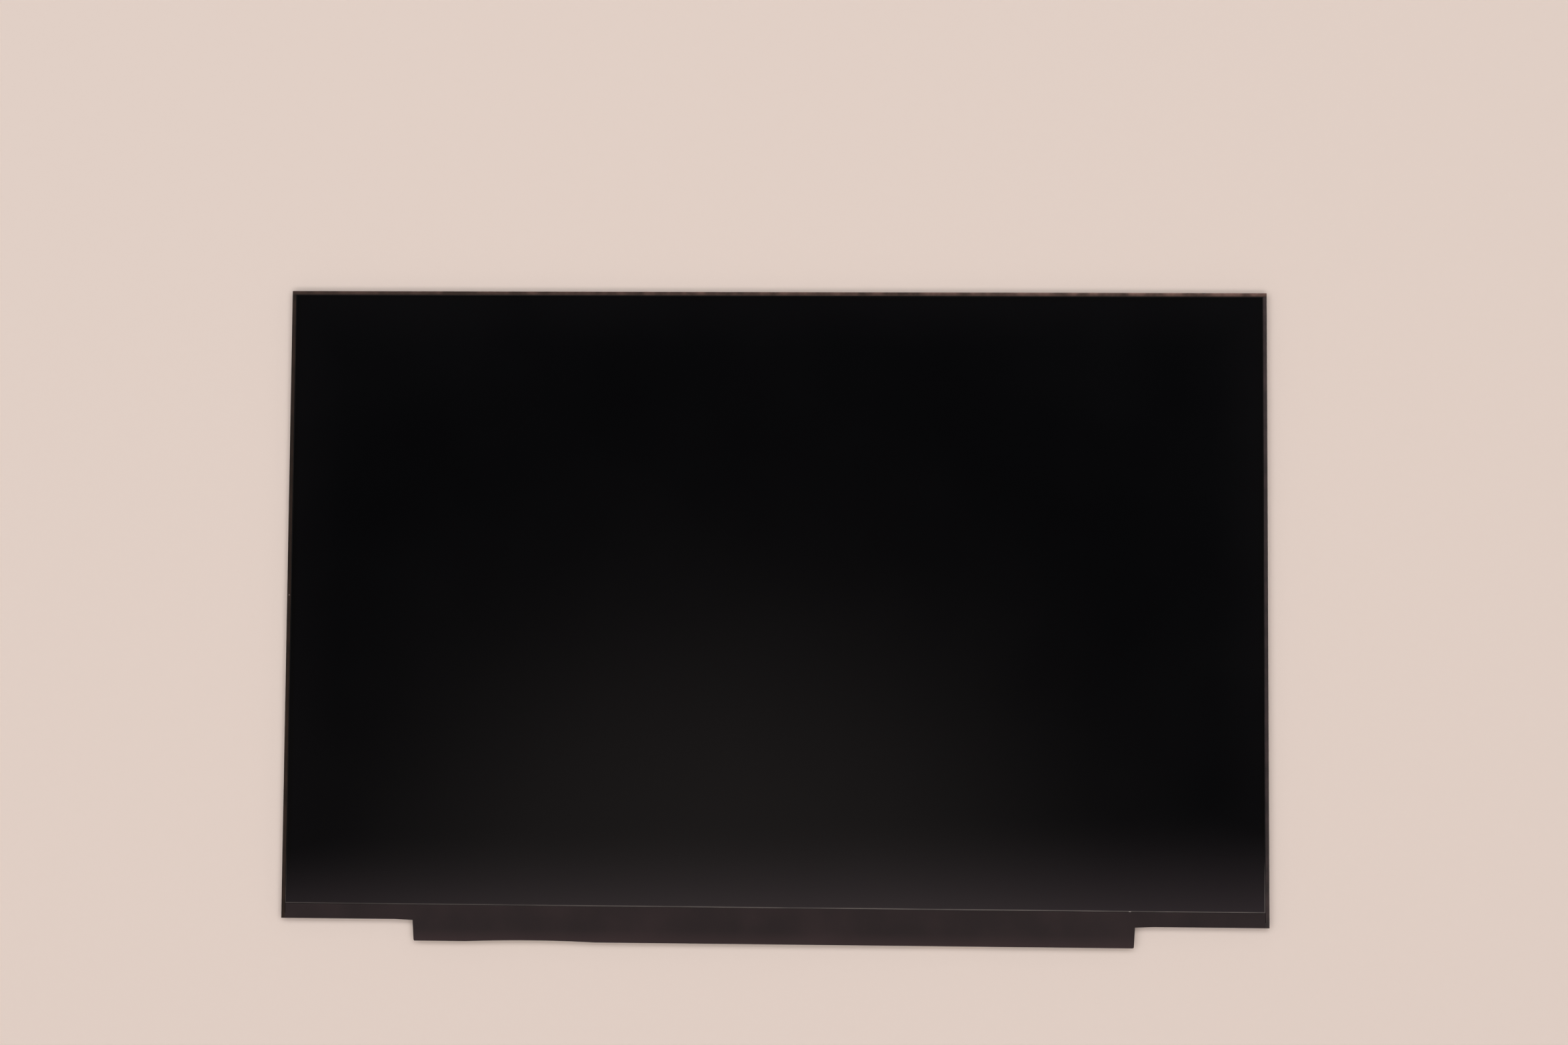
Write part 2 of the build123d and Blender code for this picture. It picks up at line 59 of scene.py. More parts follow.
def perSize(millimetres):
    return 1 / (millimetres * mm)  # texture scale that gives features of that size


def feed(tree, node, inputs):
    for socket, value in inputs.items():
        if isinstance(value, bpy.types.NodeSocket):
            tree.links.new(value, node.inputs[socket])
        else:
            node.inputs[socket].default_value = value


def addNode(tree, kind, inputs, **settings):
    node = tree.nodes.new(kind)
    for name, value in settings.items():
        setattr(node, name, value)
    feed(tree, node, inputs)
    return node


def newFinish(name):
    finish = bpy.data.materials.new(name)
    finish.use_nodes = True
    tree = finish.node_tree
    shader = tree.nodes["Principled BSDF"]
    place = addNode(tree, "ShaderNodeTexCoord", {}).outputs["Object"]
    return finish, tree, shader, place


# Patches of a size in mm: span is the part of the noise that counts, out what it turns into
def patches(tree, place, size, span, out=(0.0, 1.0), detail=4.0):
    cloud = addNode(tree, "ShaderNodeTexNoise", {"Vector": place, "Scale": perSize(size), "Detail": detail})
    return addNode(tree, "ShaderNodeMapRange", {
        "Value": cloud.outputs["Fac"], "From Min": span[0], "From Max": span[1],
        "To Min": out[0], "To Max": out[1],
    }).outputs["Result"]


def grainNormal(tree, place, size, height, detail=3.0):
    grain = addNode(tree, "ShaderNodeTexNoise", {"Vector": place, "Scale": perSize(size), "Detail": detail})
    return addNode(tree, "ShaderNodeBump", {
        "Height": grain.outputs["Fac"], "Distance": height * mm, "Strength": 1.0}).outputs["Normal"]


# Patchy tone and gloss over a fine grain, with sizes in mm: plain holds what is the same all over
def mottledFinish(name, tones, cloud, gloss, grain, height, stretch=(1, 1, 1), plain=None):
    finish, tree, shader, place = newFinish(name)
    run = addNode(tree, "ShaderNodeMapping", {"Vector": place, "Scale": stretch}).outputs["Vector"]
    share = patches(tree, run, cloud, cloudSpan)
    colour = addNode(tree, "ShaderNodeMix", {
        0: share, 6: linearColour(tones[0]), 7: linearColour(tones[1])}, data_type="RGBA")
    sheen = addNode(tree, "ShaderNodeMapRange", {"Value": share, "To Min": gloss[0], "To Max": gloss[1]})
    feed(tree, shader, {
        "Base Color": colour.outputs[2], "Roughness": sheen.outputs["Result"],
        "Normal": grainNormal(tree, run, grain, height),
    })
    feed(tree, shader, plain or {})
    return finish, tree, shader, place


# A soft, ragged spot that fades out at about its radii, in mm along X, Y and Z
def spotMask(tree, place, centre, radii):
    apart = addNode(tree, "ShaderNodeVectorMath", {
        0: place, 1: [length * mm for length in centre]}, operation="SUBTRACT")
    share = addNode(tree, "ShaderNodeVectorMath", {
        0: apart.outputs["Vector"], 1: [perSize(radius) for radius in radii]}, operation="MULTIPLY")
    reach = addNode(tree, "ShaderNodeVectorMath", {0: share.outputs["Vector"]}, operation="LENGTH")
    ragged = addNode(tree, "ShaderNodeTexNoise", {
        "Vector": place, "Scale": perSize(min(radii)), "Detail": 3.0})
    spread = addNode(tree, "ShaderNodeMath", {0: reach.outputs["Value"], 1: ragged.outputs["Fac"]})
    # the noise averages 0.5, so this runs from 0.4 to 1.0 of a radius
    return addNode(tree, "ShaderNodeMapRange", {
        "Value": spread.outputs[0], "From Min": 0.9, "From Max": 1.5, "To Min": 1.0, "To Max": 0.0,
    }, interpolation_type="SMOOTHSTEP").outputs["Result"]


# Helpers for modelling

def middle(part):
    corners = [part.co] if isinstance(part, bmesh.types.BMVert) else [v.co for v in part.verts]
    return sum(corners, Vector()) / len(corners)


def climb(edge):
    return abs(edge.verts[0].co.z - edge.verts[1].co.z)


def startFresh():
    if bpy.context.object and bpy.context.object.mode != "OBJECT":
        bpy.ops.object.mode_set(mode="OBJECT")
    bpy.ops.object.select_all(action="DESELECT")


def placed(name, size):
    piece = bpy.context.active_object
    piece.name = name
    piece.data.name = name
    piece.scale = size
    bpy.ops.object.transform_apply(location=True, rotation=True, scale=True)
    return piece


def addBlock(name, low, high):
    startFresh()
    bpy.ops.mesh.primitive_cube_add(size=1, location=(Vector(low) + Vector(high)) / 2)
    return placed(name, Vector(high) - Vector(low))


def addGrid(name, low, high, stepsX, stepsY):
    startFresh()
    bpy.ops.mesh.primitive_grid_add(
        x_subdivisions=stepsX, y_subdivisions=stepsY, size=1, location=(Vector(low) + Vector(high)) / 2)
    return placed(name, (high[0] - low[0], high[1] - low[1], 1))


def addDisc(name, centre, radius, depth, sides):
    startFresh()
    bpy.ops.mesh.primitive_cylinder_add(vertices=sides, radius=radius, depth=depth, location=centre)
    return placed(name, (1, 1, 1))


def pick(piece, kind, wanted):
    bpy.context.view_layer.objects.active = piece
    bpy.ops.object.mode_set(mode="EDIT")
    bpy.ops.mesh.select_mode(type=kind)
    bpy.ops.mesh.select_all(action="DESELECT")
    shape = bmesh.from_edit_mesh(piece.data)
    for part in {"VERT": shape.verts, "EDGE": shape.edges, "FACE": shape.faces}[kind]:
        if wanted(part):
            part.select_set(True)
    bmesh.update_edit_mesh(piece.data)


def splitAt(piece, point, normal, wanted=lambda face: True):
    pick(piece, "FACE", wanted)
    bpy.ops.mesh.bisect(plane_co=point, plane_no=normal, threshold=hairline)


def slide(value):
    return {"value": value}


def applyModifier(piece, kind, **settings):
    bpy.context.view_layer.objects.active = piece
    if piece.mode != "OBJECT":
        bpy.ops.object.mode_set(mode="OBJECT")
    modifier = piece.modifiers.new(kind.title(), kind)
    for name, value in settings.items():
        setattr(modifier, name, value)
    bpy.ops.object.modifier_apply(modifier=modifier.name)


# Thickens a bent sheet inwards: up is 1 where its outermost face looks up, and -1 where it looks down
def thickenSheet(piece, thickness, up):
    bpy.ops.mesh.select_all(action="SELECT")
    bpy.ops.mesh.normals_make_consistent(inside=False)
    outermost = max(bmesh.from_edit_mesh(piece.data).faces, key=lambda f: up * middle(f).z)
    if up * outermost.normal.z < 0:
        bpy.ops.mesh.flip_normals()
    applyModifier(piece, "SOLIDIFY", thickness=thickness, offset=-1.0, use_even_offset=True)


def cutAway(piece, cutter):
    applyModifier(piece, "BOOLEAN", object=cutter, operation="DIFFERENCE", solver="EXACT")
    bpy.data.objects.remove(cutter)


def twinOf(piece, shift, turn=0.0):
    twin = piece.copy()
    twin.data = piece.data.copy()
    twin.location = shift
    twin.rotation_euler.z = turn
    bpy.context.scene.collection.objects.link(twin)
    return twin


def joinAll(name, pieces):
    startFresh()
    for piece in pieces:
        piece.select_set(True)
    bpy.context.view_layer.objects.active = pieces[0]
    bpy.ops.object.transform_apply(location=True, rotation=True, scale=True)
    if len(pieces) > 1:
        bpy.ops.object.join()
    joined = bpy.context.active_object
    joined.name = name
    joined.data.name = name
    return joined


def dress(piece, finishes, chooser=None):
    if piece.mode != "OBJECT":
        bpy.ops.object.mode_set(mode="OBJECT")
    piece.data.materials.clear()
    for finish in finishes:
        piece.data.materials.append(finish)
    for face in piece.data.polygons:
        face.material_index = chooser(face) if chooser else 0


def settle(piece, slot, *replaced, angle=35):
    startFresh()
    piece.select_set(True)
    pick(piece, "FACE", lambda f: True)
    bpy.ops.mesh.dissolve_degenerate(threshold=hairline)
    bpy.ops.object.mode_set(mode="OBJECT")
    bpy.ops.object.shade_smooth_by_angle(angle=math.radians(angle))
    applyModifier(piece, "WEIGHTED_NORMAL", keep_sharp=True)  # keeps large faces flat next to bevels
    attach(piece, "root")
    if replaced:
        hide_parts(*replaced)
    print(piece.name, "done:", len(piece.data.polygons), "faces")


# Lowest and highest corners of a node's separate solids, which stand in a row along X
def partBoxes(node, gap):
    corners = sorted((v.co.copy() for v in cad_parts[node].data.vertices), key=lambda c: c.x)
    groups = [[corners[0]]]
    for corner in corners[1:]:
        if corner.x - groups[-1][-1].x > gap:
            groups.append([])
        groups[-1].append(corner)
    return [
        [Vector(most(corner[i] for corner in group) for i in range(3)) for most in (min, max)]
        for group in groups
    ]


# Screen sheet: the front polariser

screenSheet = {
    "edgeBevel": 0.13,      # mm
    "pixelBlack": "#030304",
    "borderBlack": "#020202",
    "active": (301.6, 188.5),   # mm
    # painted reflection: the film's black is painted lighter above its lower edge and a little along its
    # other edges
    "reflectedTone": "#211D1F",
    "reflectionReach": (23.0, 33.0),  # mm up from the lower edge, at the left end and the right end
    "reflectionRun": (0.95, 1.6),     # how strong, at the same ends
    "edgeReflection": (16.0, 0.07),   # mm in from the other edges, and how strong
    # the cut edge's milk, partly a painted highlight: strong along the bottom and right, fading up the right
    # side
    "milkAndHighlightWidth": 0.42,      # mm
    "edgeHighlightFade": (1.5, 16.0),    # mm up the right side
    "edgeHighlightRun": (0.45, 1.0),     # how strong, at the left end and the right end
    "edgeHighlightPatch": 18.0,      # mm
    "edgeHighlightPatchSpan": (0.35, 0.62),
    "edgeHighlightPatchRun": (0.5, 1.0),
    "roughness": 0.18,
    "smear": 45.0,          # mm
    "smearSpan": (0.3, 0.7),
    "smearRoughness": 0.012,
    "lowReflection": 0.2,   # the coat takes off about half of the plain film's reflection
    "refraction": 1.49,
    "grit": 0.35,           # mm, real grit is about 0.02 mm and wouldn't show
    "gritHeight": 0.0012,
    # colours of the cut edge: milky with a painted highlight, and dull as painted shade where it faces away
    # from the light
    "milkAndHighlight": "#6E6865",
    "edgeDull": "#0E0C0C",
    "edgeRoughness": 0.6,
    "edgeGlint": "#E6DDD6",     # a painted glint, where light catches a chip in the lower edge
    "glintPlace": (110.6, -95.63, 2.2),     # mm
    "glintRadii": (0.42, 0.16, 0.16),
}


# How milky the cut edge is, with a painted highlight on it: patchy along the bottom, more to the right,
# fading up the right side
def milkAndHighlight(tree, place, axes):
    look = screenSheet
    low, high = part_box("front_polariser")
    fadeStart, fadeEnd = [low.y + length * mm for length in look["edgeHighlightFade"]]
    fade = addNode(tree, "ShaderNodeMapRange", {
        "Value": axes.outputs["Y"], "From Min": fadeStart, "From Max": fadeEnd, "To Min": 1.0, "To Max": 0.0})
    rise = addNode(tree, "ShaderNodeMapRange", {
        "Value": axes.outputs["X"], "From Min": low.x, "From Max": high.x,
        "To Min": look["edgeHighlightRun"][0], "To Max": look["edgeHighlightRun"][1],
    })
    milk = addNode(tree, "ShaderNodeMath", {
        0: fade.outputs["Result"], 1: rise.outputs["Result"]}, operation="MULTIPLY")
    blotches = patches(tree, place, look["edgeHighlightPatch"], look["edgeHighlightPatchSpan"], look["edgeHighlightPatchRun"])
    return addNode(tree, "ShaderNodeMath", {0: milk.outputs[0], 1: blotches}, operation="MULTIPLY").outputs[0]


# Black of the picture area inside the deeper black of its border
def pictureBlack(tree, across):
    look = screenSheet
    inside = [
        addNode(tree, "ShaderNodeMath", {0: value, 1: length / 2 * mm}, operation="LESS_THAN").outputs[0]
        for value, length in zip(across, look["active"])
    ]
    within = addNode(tree, "ShaderNodeMath", {0: inside[0], 1: inside[1]}, operation="MULTIPLY")
    return addNode(tree, "ShaderNodeMix", {
        0: within.outputs[0], 6: linearColour(look["borderBlack"]), 7: linearColour(look["pixelBlack"]),
    }, data_type="RGBA").outputs[2]


# Painted reflection: the black is painted lighter above the lower edge, and a little lighter along the other
# edges
def paintedReflection(tree, axes, across):
    look = screenSheet
    low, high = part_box("front_polariser")
    reach, run = [
        addNode(tree, "ShaderNodeMapRange", {
            "Value": axes.outputs["X"], "From Min": low.x, "From Max": high.x,
            "To Min": first, "To Max": last,
        }).outputs["Result"]
        for first, last in ([low.y + length * mm for length in look["reflectionReach"]], look["reflectionRun"])
    ]
    nearness = addNode(tree, "ShaderNodeMapRange", {
        "Value": axes.outputs["Y"], "From Min": low.y, "From Max": reach, "To Min": 1.0, "To Max": 0.0})
    reflectionFalloff = addNode(tree, "ShaderNodeMath", {0: nearness.outputs["Result"], 1: 2.0}, operation="POWER")
    reflectedShare = addNode(tree, "ShaderNodeMath", {0: reflectionFalloff.outputs[0], 1: run}, operation="MULTIPLY").outputs[0]
    width, strength = look["edgeReflection"]
    for value, edge in zip(across, (high.x, high.y)):
        edgeReflected = addNode(tree, "ShaderNodeMapRange", {
            "Value": value, "From Min": edge - width * mm, "From Max": edge,
            "To Min": 0.0, "To Max": strength,
        })
        reflectedShare = addNode(tree, "ShaderNodeMath", {
            0: reflectedShare, 1: edgeReflected.outputs["Result"]}, operation="MAXIMUM").outputs[0]
    return reflectedShare


# Where the cut edge's milk and painted highlight reach into the face: along the bottom and up the right side
def milkyHighlitMargin(tree, axes):
    look = screenSheet
    low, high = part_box("front_polariser")
    marginY = addNode(tree, "ShaderNodeMapRange", {
        "Value": axes.outputs["Y"], "From Min": low.y + look["edgeBevel"] * mm,
        "From Max": low.y + look["milkAndHighlightWidth"] * mm, "To Min": 1.0, "To Max": 0.0,
    })
    marginX = addNode(tree, "ShaderNodeMapRange", {
        "Value": axes.outputs["X"], "From Min": high.x - look["milkAndHighlightWidth"] * mm,
        "From Max": high.x - look["edgeBevel"] * mm, "To Min": 0.0, "To Max": 1.0,
    })
    return addNode(tree, "ShaderNodeMath", {
        0: marginY.outputs["Result"], 1: marginX.outputs["Result"]}, operation="MAXIMUM").outputs[0]


# Triacetate film with an anti-glare hard coat: deep black under a soft, hazy gloss, with painted reflection
# above the lower edge and along the others
def antiglareFilm():
    look = screenSheet
    finish, tree, shader, place = newFinish("hardCoatedTriacetate")
    axes = addNode(tree, "ShaderNodeSeparateXYZ", {0: place})
    across = [
        addNode(tree, "ShaderNodeMath", {0: axes.outputs[axis]}, operation="ABSOLUTE").outputs[0]
        for axis in ("X", "Y")
    ]
    # painted reflection mixed into the black
    withReflection = addNode(tree, "ShaderNodeMix", {
        0: paintedReflection(tree, axes, across), 6: pictureBlack(tree, across), 7: linearColour(look["reflectedTone"]),
    }, data_type="RGBA", clamp_factor=False)
    # milk and painted highlight along the bottom and right margins
    milk = addNode(tree, "ShaderNodeMath", {
        0: milkyHighlitMargin(tree, axes), 1: milkAndHighlight(tree, place, axes)}, operation="MULTIPLY")
    litAtEdge = addNode(tree, "ShaderNodeMix", {
        0: milk.outputs[0], 6: withReflection.outputs[2], 7: linearColour(look["milkAndHighlight"]),
    }, data_type="RGBA")
    gloss = [look["roughness"] + sign * look["smearRoughness"] for sign in (-1, 1)]
    feed(tree, shader, {
        "Base Color": litAtEdge.outputs[2],
        "Roughness": patches(tree, place, look["smear"], look["smearSpan"], gloss, detail=2.0),
        "Normal": grainNormal(tree, place, look["grit"], look["gritHeight"], detail=2.0),
        "IOR": look["refraction"],
        "Specular IOR Level": look["lowReflection"],
    })
    return finish


# Cut edge of the same film: milky where the cutter crazed it, and painted lighter as a highlight, worst along
# the bottom; dull as painted shade where the edge faces away from the light
def milkyHighlitCutEdge():
    look = screenSheet
    finish, tree, shader, place = newFinish("crazedHighlitTriacetateEdge")
    axes = addNode(tree, "ShaderNodeSeparateXYZ", {0: place})
    colour = addNode(tree, "ShaderNodeMix", {
        0: milkAndHighlight(tree, place, axes), 6: linearColour(look["edgeDull"]), 7: linearColour(look["milkAndHighlight"]),
    }, data_type="RGBA")
    # painted glint at one spot of the lower edge
    glintedEdge = addNode(tree, "ShaderNodeMix", {
        0: spotMask(tree, place, look["glintPlace"], look["glintRadii"]),
        6: colour.outputs[2], 7: linearColour(look["edgeGlint"]),
    }, data_type="RGBA")
    feed(tree, shader, {
        "Base Color": glintedEdge.outputs[2], "Roughness": look["edgeRoughness"],
        "Specular IOR Level": look["lowReflection"],
    })
    return finish


def makeScreenSheet():
    low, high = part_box("front_polariser")
    piece = addBlock("screenSheet", low, high)
    pick(piece, "EDGE", lambda e: middle(e).z > high.z - slack)
    bpy.ops.mesh.bevel(offset=screenSheet["edgeBevel"] * mm, segments=3, affect="EDGES")
    dress(piece, [antiglareFilm(), milkyHighlitCutEdge()], lambda face: 0 if face.normal.z > flat else 1)
    settle(piece, "antiglare_polariser", "front_polariser")


# Chin film: black film over the chin and, as a tab, over the control board

chinFilm = {
    "steps": (301, 13),     # no line close to the tab's root, so that its corners can round and flare
    "sheet": 0.08,          # mm
    "chinBottom": -100.3,
    "tabRoot": 112.2,
    "tabTaper": 0.4,
    "flareLength": 5.5,
    "flareDrop": 0.25,
    "cornerRadius": 0.4,
    "waveMiddle": -75.2,
    "waveLength": 40.0,
    "waveRise": 0.45,
    "puff": 0.05,           # mm, how far the film stands off what is under it
    "puffSize": 26.0,
    "puffStretch": 1.6,
    "waveLift": 0.01,
    "black": "#221A1B",
    "worn": "#291F20",
    "wearSize": 14.0,       # mm
    "wearSpan": (0.38, 0.68),
    # painted light: lighter and pinker towards the lower edge
    "lowerLitTone": "#352829",
    "lowerLitBand": (-107.0, -103.0),  # mm along Y
    "lowerLitShare": 0.75,
    "roughness": 0.47,
    "specular": 0.15,
    "grain": 0.28,          # mm
    "grainHeight": 0.004,
}


# Polyester film printed matt black: a warm black with a fine dry grain, greyer where it is handled, and
# painted lighter and pinker towards the lower edge, as light from the pale floor
def mattPrintedFilm():
    look = chinFilm
    finish, tree, shader, place = newFinish("mattPrintedPolyester")
    wear = patches(tree, place, look["wearSize"], look["wearSpan"])
    colour = addNode(tree, "ShaderNodeMix", {
        0: wear, 6: linearColour(look["black"]), 7: linearColour(look["worn"])}, data_type="RGBA")
    axes = addNode(tree, "ShaderNodeSeparateXYZ", {0: place})
    # painted light, lighter and pinker towards the lower edge
    bandStart, bandEnd = [y * mm for y in look["lowerLitBand"]]
    lower = addNode(tree, "ShaderNodeMapRange", {
        "Value": axes.outputs["Y"], "From Min": bandStart, "From Max": bandEnd,
        "To Min": look["lowerLitShare"], "To Max": 0.0,
    })
    litAtEdge = addNode(tree, "ShaderNodeMix", {
        0: lower.outputs["Result"], 6: colour.outputs[2], 7: linearColour(look["lowerLitTone"]),
    }, data_type="RGBA")
    feed(tree, shader, {
        "Base Color": litAtEdge.outputs[2], "Roughness": look["roughness"],
        "Specular IOR Level": look["specular"],
        "Normal": grainNormal(tree, place, look["grain"], look["grainHeight"]),
    })
    return finish


def makeChinFilm():
    look = chinFilm
    low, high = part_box("bezel_film")
    low.y += slack  # so that no rounding reaches past the solid
    piece = addGrid("chinFilm", (low.x, low.y, high.z), (high.x, high.y, high.z), *look["steps"])
    chinBottom = look["chinBottom"] * mm
    tabRoot = look["tabRoot"] * mm
    flareStart = tabRoot + look["flareLength"] * mm
    drop = chinBottom - low.y
    cuts = [((x, 0, 0), (1, 0, 0)) for x in (-flareStart, -tabRoot, tabRoot, flareStart)]
    cuts.append(((0, chinBottom, 0), (0, 1, 0)))
    for point, normal in cuts:
        splitAt(piece, point, normal)
    pick(piece, "FACE", lambda f: middle(f).y < chinBottom and abs(middle(f).x) > tabRoot)
    bpy.ops.mesh.delete(type="FACE")
    bpy.ops.object.mode_set(mode="OBJECT")
    for vertex in piece.data.vertices:
        spot = vertex.co
        below = max(0.0, chinBottom - spot.y) / drop
        flare = (flareStart - abs(spot.x)) / (look["flareLength"] * mm)
        if abs(spot.y - chinBottom) < slack and 0 < flare < 1.001:
            spot.y -= look["flareDrop"] * mm * flare
        spot.x -= math.copysign(look["tabTaper"] * mm, spot.x) * below * abs(spot.x) / tabRoot
        alongWave = (spot.x / mm - look["waveMiddle"]) / (look["waveLength"] / 2)
        wave = max(0.0, 1 - alongWave ** 2)
        spot.y += look["waveRise"] * mm * wave * below ** 2
        puffing = noise.noise(Vector((spot.x, spot.y * look["puffStretch"], 0)) / (look["puffSize"] * mm))
        spot.z += look["puff"] * mm * (0.5 + 0.5 * puffing) * min(1.0, below * 2)
        spot.z += look["waveLift"] * mm * wave * below
    corner = tabRoot - look["tabTaper"] * mm
    pick(piece, "VERT", lambda v: v.co.y < low.y + slack and abs(abs(v.co.x) - corner) < slack)
    bpy.ops.mesh.bevel(offset=look["cornerRadius"] * mm, segments=5, affect="VERTICES")
    applyModifier(piece, "SOLIDIFY", thickness=look["sheet"] * mm, offset=-1.0)
    dress(piece, [mattPrintedFilm()])
    settle(piece, "bezel_film", "bezel_film")


# Edge tapes: folded round the left, right and top edges

edgeTape = {
    "gap": 0.10,            # mm, screen sheet to the tape
    "sheet": 0.06,
    "rearWidth": 3.2,
    "joint": 0.05,
    "fold": 0.13,
    "steps": 196,
    # lit and shaded tones of one tape: the top and the right painted lighter where light catches them, the
    # left darker as painted shade
    "leftShadedTones": ("#1B120C", "#281B14"),
    "rightLitTones": ("#282222", "#392E2E"),
    "topLitTones": ("#2A1F19", "#7C5F57"),
    "patch": 4.0,           # mm
    "patchSpan": (0.36, 0.70),
    "tapeGlintPlace": (-152.8, 0.6, 2.14),      # mm, a painted glint on the left tape
    "tapeGlintRadii": (0.18, 0.18, 0.18),
    "tapeGlint": "#9A8E88",
    "patchShare": (0.1, 1.0),
    # painted highlight on the top tape: lighter along the fold and towards its right end
    "foldHighlightRun": (0.3, 1.0),         # how strong, at the top tape's left end and its right end
    "foldHighlightAcross": (0.15, 1.2),     # at its inner edge and at the fold
    "foldHighlightDown": (0.12, 1.0),       # on its side wall and at the fold
    "foldHighlightDepth": 4,                # folds down the side wall
    "roughness": 0.42,
    "specular": 0.15,
    "grain": 0.22,
    "grainHeight": 0.004,
    "ripplePlace": (62.0, 118.0),   # mm along the top edge, where the tape has rippled
    "rippleHeight": 0.06,
    "rippleSize": 3.2,
    "rippleSeed": 3.0,
    "nickPlace": 134.1,
    "nickWidth": 0.7,
    "nickDepth": 0.30,
    "nickReach": 0.4,       # from the outer edge
    "nickDip": 0.02,
}


# Black polyester tape: satin, in brownish tones painted for where light rakes it, with random patches; on the
# top tape a painted highlight, lighter along the fold and towards the right
def satinTape(name, tones, foldHighlightRun=None):
    look = edgeTape
    finish, tree, shader, place = newFinish(name)
    patchesAndHighlight = patches(tree, place, look["patch"], look["patchSpan"], look["patchShare"], detail=5.0)
    # painted highlight on the top tape, along the fold and towards the right
    if foldHighlightRun:
        axes = addNode(tree, "ShaderNodeSeparateXYZ", {0: place})
        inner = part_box("front_polariser")[1]
        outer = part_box("top_edge_tape")[1]
        fold = look["fold"] * mm
        ramps = (
            ("X", (-inner.x, inner.x), foldHighlightRun),
            ("Y", (inner.y, outer.y), look["foldHighlightAcross"]),
            ("Z", (outer.z - look["foldHighlightDepth"] * fold, outer.z - fold), look["foldHighlightDown"]),
        )
        for axis, span, strength in ramps:
            ramp = addNode(tree, "ShaderNodeMapRange", {
                "Value": axes.outputs[axis], "From Min": span[0], "From Max": span[1],
                "To Min": strength[0], "To Max": strength[1],
            })
            patchesAndHighlight = addNode(tree, "ShaderNodeMath", {
                0: patchesAndHighlight, 1: ramp.outputs["Result"]}, operation="MULTIPLY").outputs[0]
    colour = addNode(tree, "ShaderNodeMix", {
        0: patchesAndHighlight, 6: linearColour(tones[0]), 7: linearColour(tones[1]),
    }, data_type="RGBA")
    # painted glint at one spot of the left tape
    glintedTape = addNode(tree, "ShaderNodeMix", {
        0: spotMask(tree, place, look["tapeGlintPlace"], look["tapeGlintRadii"]),
        6: colour.outputs[2], 7: linearColour(look["tapeGlint"]),
    }, data_type="RGBA")
    feed(tree, shader, {
        "Base Color": glintedTape.outputs[2], "Roughness": look["roughness"],
        "Specular IOR Level": look["specular"],
        "Normal": grainNormal(tree, place, look["grain"], look["grainHeight"], detail=2.0),
    })
    return finish


def makeSideTape(name, node, side, finish):
    look = edgeTape
    low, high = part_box(node)
    inner = side * (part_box("front_polariser")[1].x + look["gap"] * mm)
    outer = high.x if side > 0 else low.x
    left, right = sorted((inner, outer))
    piece = addGrid(name, (left, low.y, high.z), (right, high.y, high.z), 2, look["steps"])
    pick(piece, "EDGE", lambda e: all(abs(v.co.x - outer) < slack for v in e.verts))
    bpy.ops.mesh.extrude_region_move(TRANSFORM_OT_translate=slide((0, 0, low.z - high.z)))
    bpy.ops.mesh.extrude_region_move(TRANSFORM_OT_translate=slide((-side * look["rearWidth"] * mm, 0, 0)))
    pick(piece, "EDGE", lambda e: all(abs(v.co.x - outer) < slack for v in e.verts) and climb(e) < slack)
    bpy.ops.mesh.bevel(offset=look["fold"] * mm, segments=4, affect="EDGES")
    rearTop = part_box("top_edge_tape")[1].y - (look["rearWidth"] + look["joint"]) * mm

    def onRear(face):
        return middle(face).z < low.z + look["fold"] * mm - slack

    # at the upper end the top tape takes over the back
    splitAt(piece, (0, rearTop, 0), (0, 1, 0), onRear)
    pick(piece, "FACE", lambda f: onRear(f) and middle(f).y > rearTop)
    bpy.ops.mesh.delete(type="FACE")
    thickenSheet(piece, look["sheet"] * mm, 1)
    dress(piece, [finish])
    settle(piece, "edge_tape", node)


def makeTopTape(finish):
    look = edgeTape
    low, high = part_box("top_edge_tape")
    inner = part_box("front_polariser")[1].y + look["gap"] * mm
    piece = addGrid("topTape", (low.x, inner, high.z), (high.x, high.y, high.z), 2 * look["steps"], 3)

    def onRim(vertex):
        return vertex.co.y > high.y - slack or abs(vertex.co.x) > high.x - slack

    pick(piece, "EDGE", lambda e: e.is_boundary and all(onRim(v) for v in e.verts)
         and (middle(e).y > high.y - slack or abs(middle(e).x) > high.x - slack))
    bpy.ops.mesh.extrude_region_move(TRANSFORM_OT_translate=slide((0, 0, low.z - high.z)))
    pick(piece, "EDGE", lambda e: middle(e).y > high.y - slack and middle(e).z < low.z + slack)
    bpy.ops.mesh.extrude_region_move(TRANSFORM_OT_translate=slide((0, -look["rearWidth"] * mm, 0)))
    pick(piece, "EDGE", lambda e: len(e.link_faces) == 2 and e.calc_face_angle(0) > sharp)
    bpy.ops.mesh.bevel(offset=look["fold"] * mm, segments=4, affect="EDGES")
    bpy.ops.object.mode_set(mode="OBJECT")
    first, last = look["ripplePlace"]
    for vertex in piece.data.vertices:
        spot = vertex.co
        if spot.z < high.z - look["fold"] * mm:
            continue
        along = (spot.x / mm - first) / (last - first)
        strength = max(0.0, math.sin(math.pi * along)) if 0 < along < 1 else 0.0
        ripple = noise.noise(Vector((spot.x / (look["rippleSize"] * mm), spot.y / mm, look["rippleSeed"])))
        spot.z += look["rippleHeight"] * mm * strength * max(0.0, ripple)
        nick = max(0.0, 1 - abs(spot.x / mm - look["nickPlace"]) / look["nickWidth"])
        if spot.y > high.y - look["nickReach"] * mm:
            spot.y -= look["nickDepth"] * mm * nick
            spot.z -= look["nickDip"] * mm * nick
    pick(piece, "FACE", lambda f: True)
    thickenSheet(piece, look["sheet"] * mm, 1)
    dress(piece, [finish])
    settle(piece, "edge_tape", "top_edge_tape")


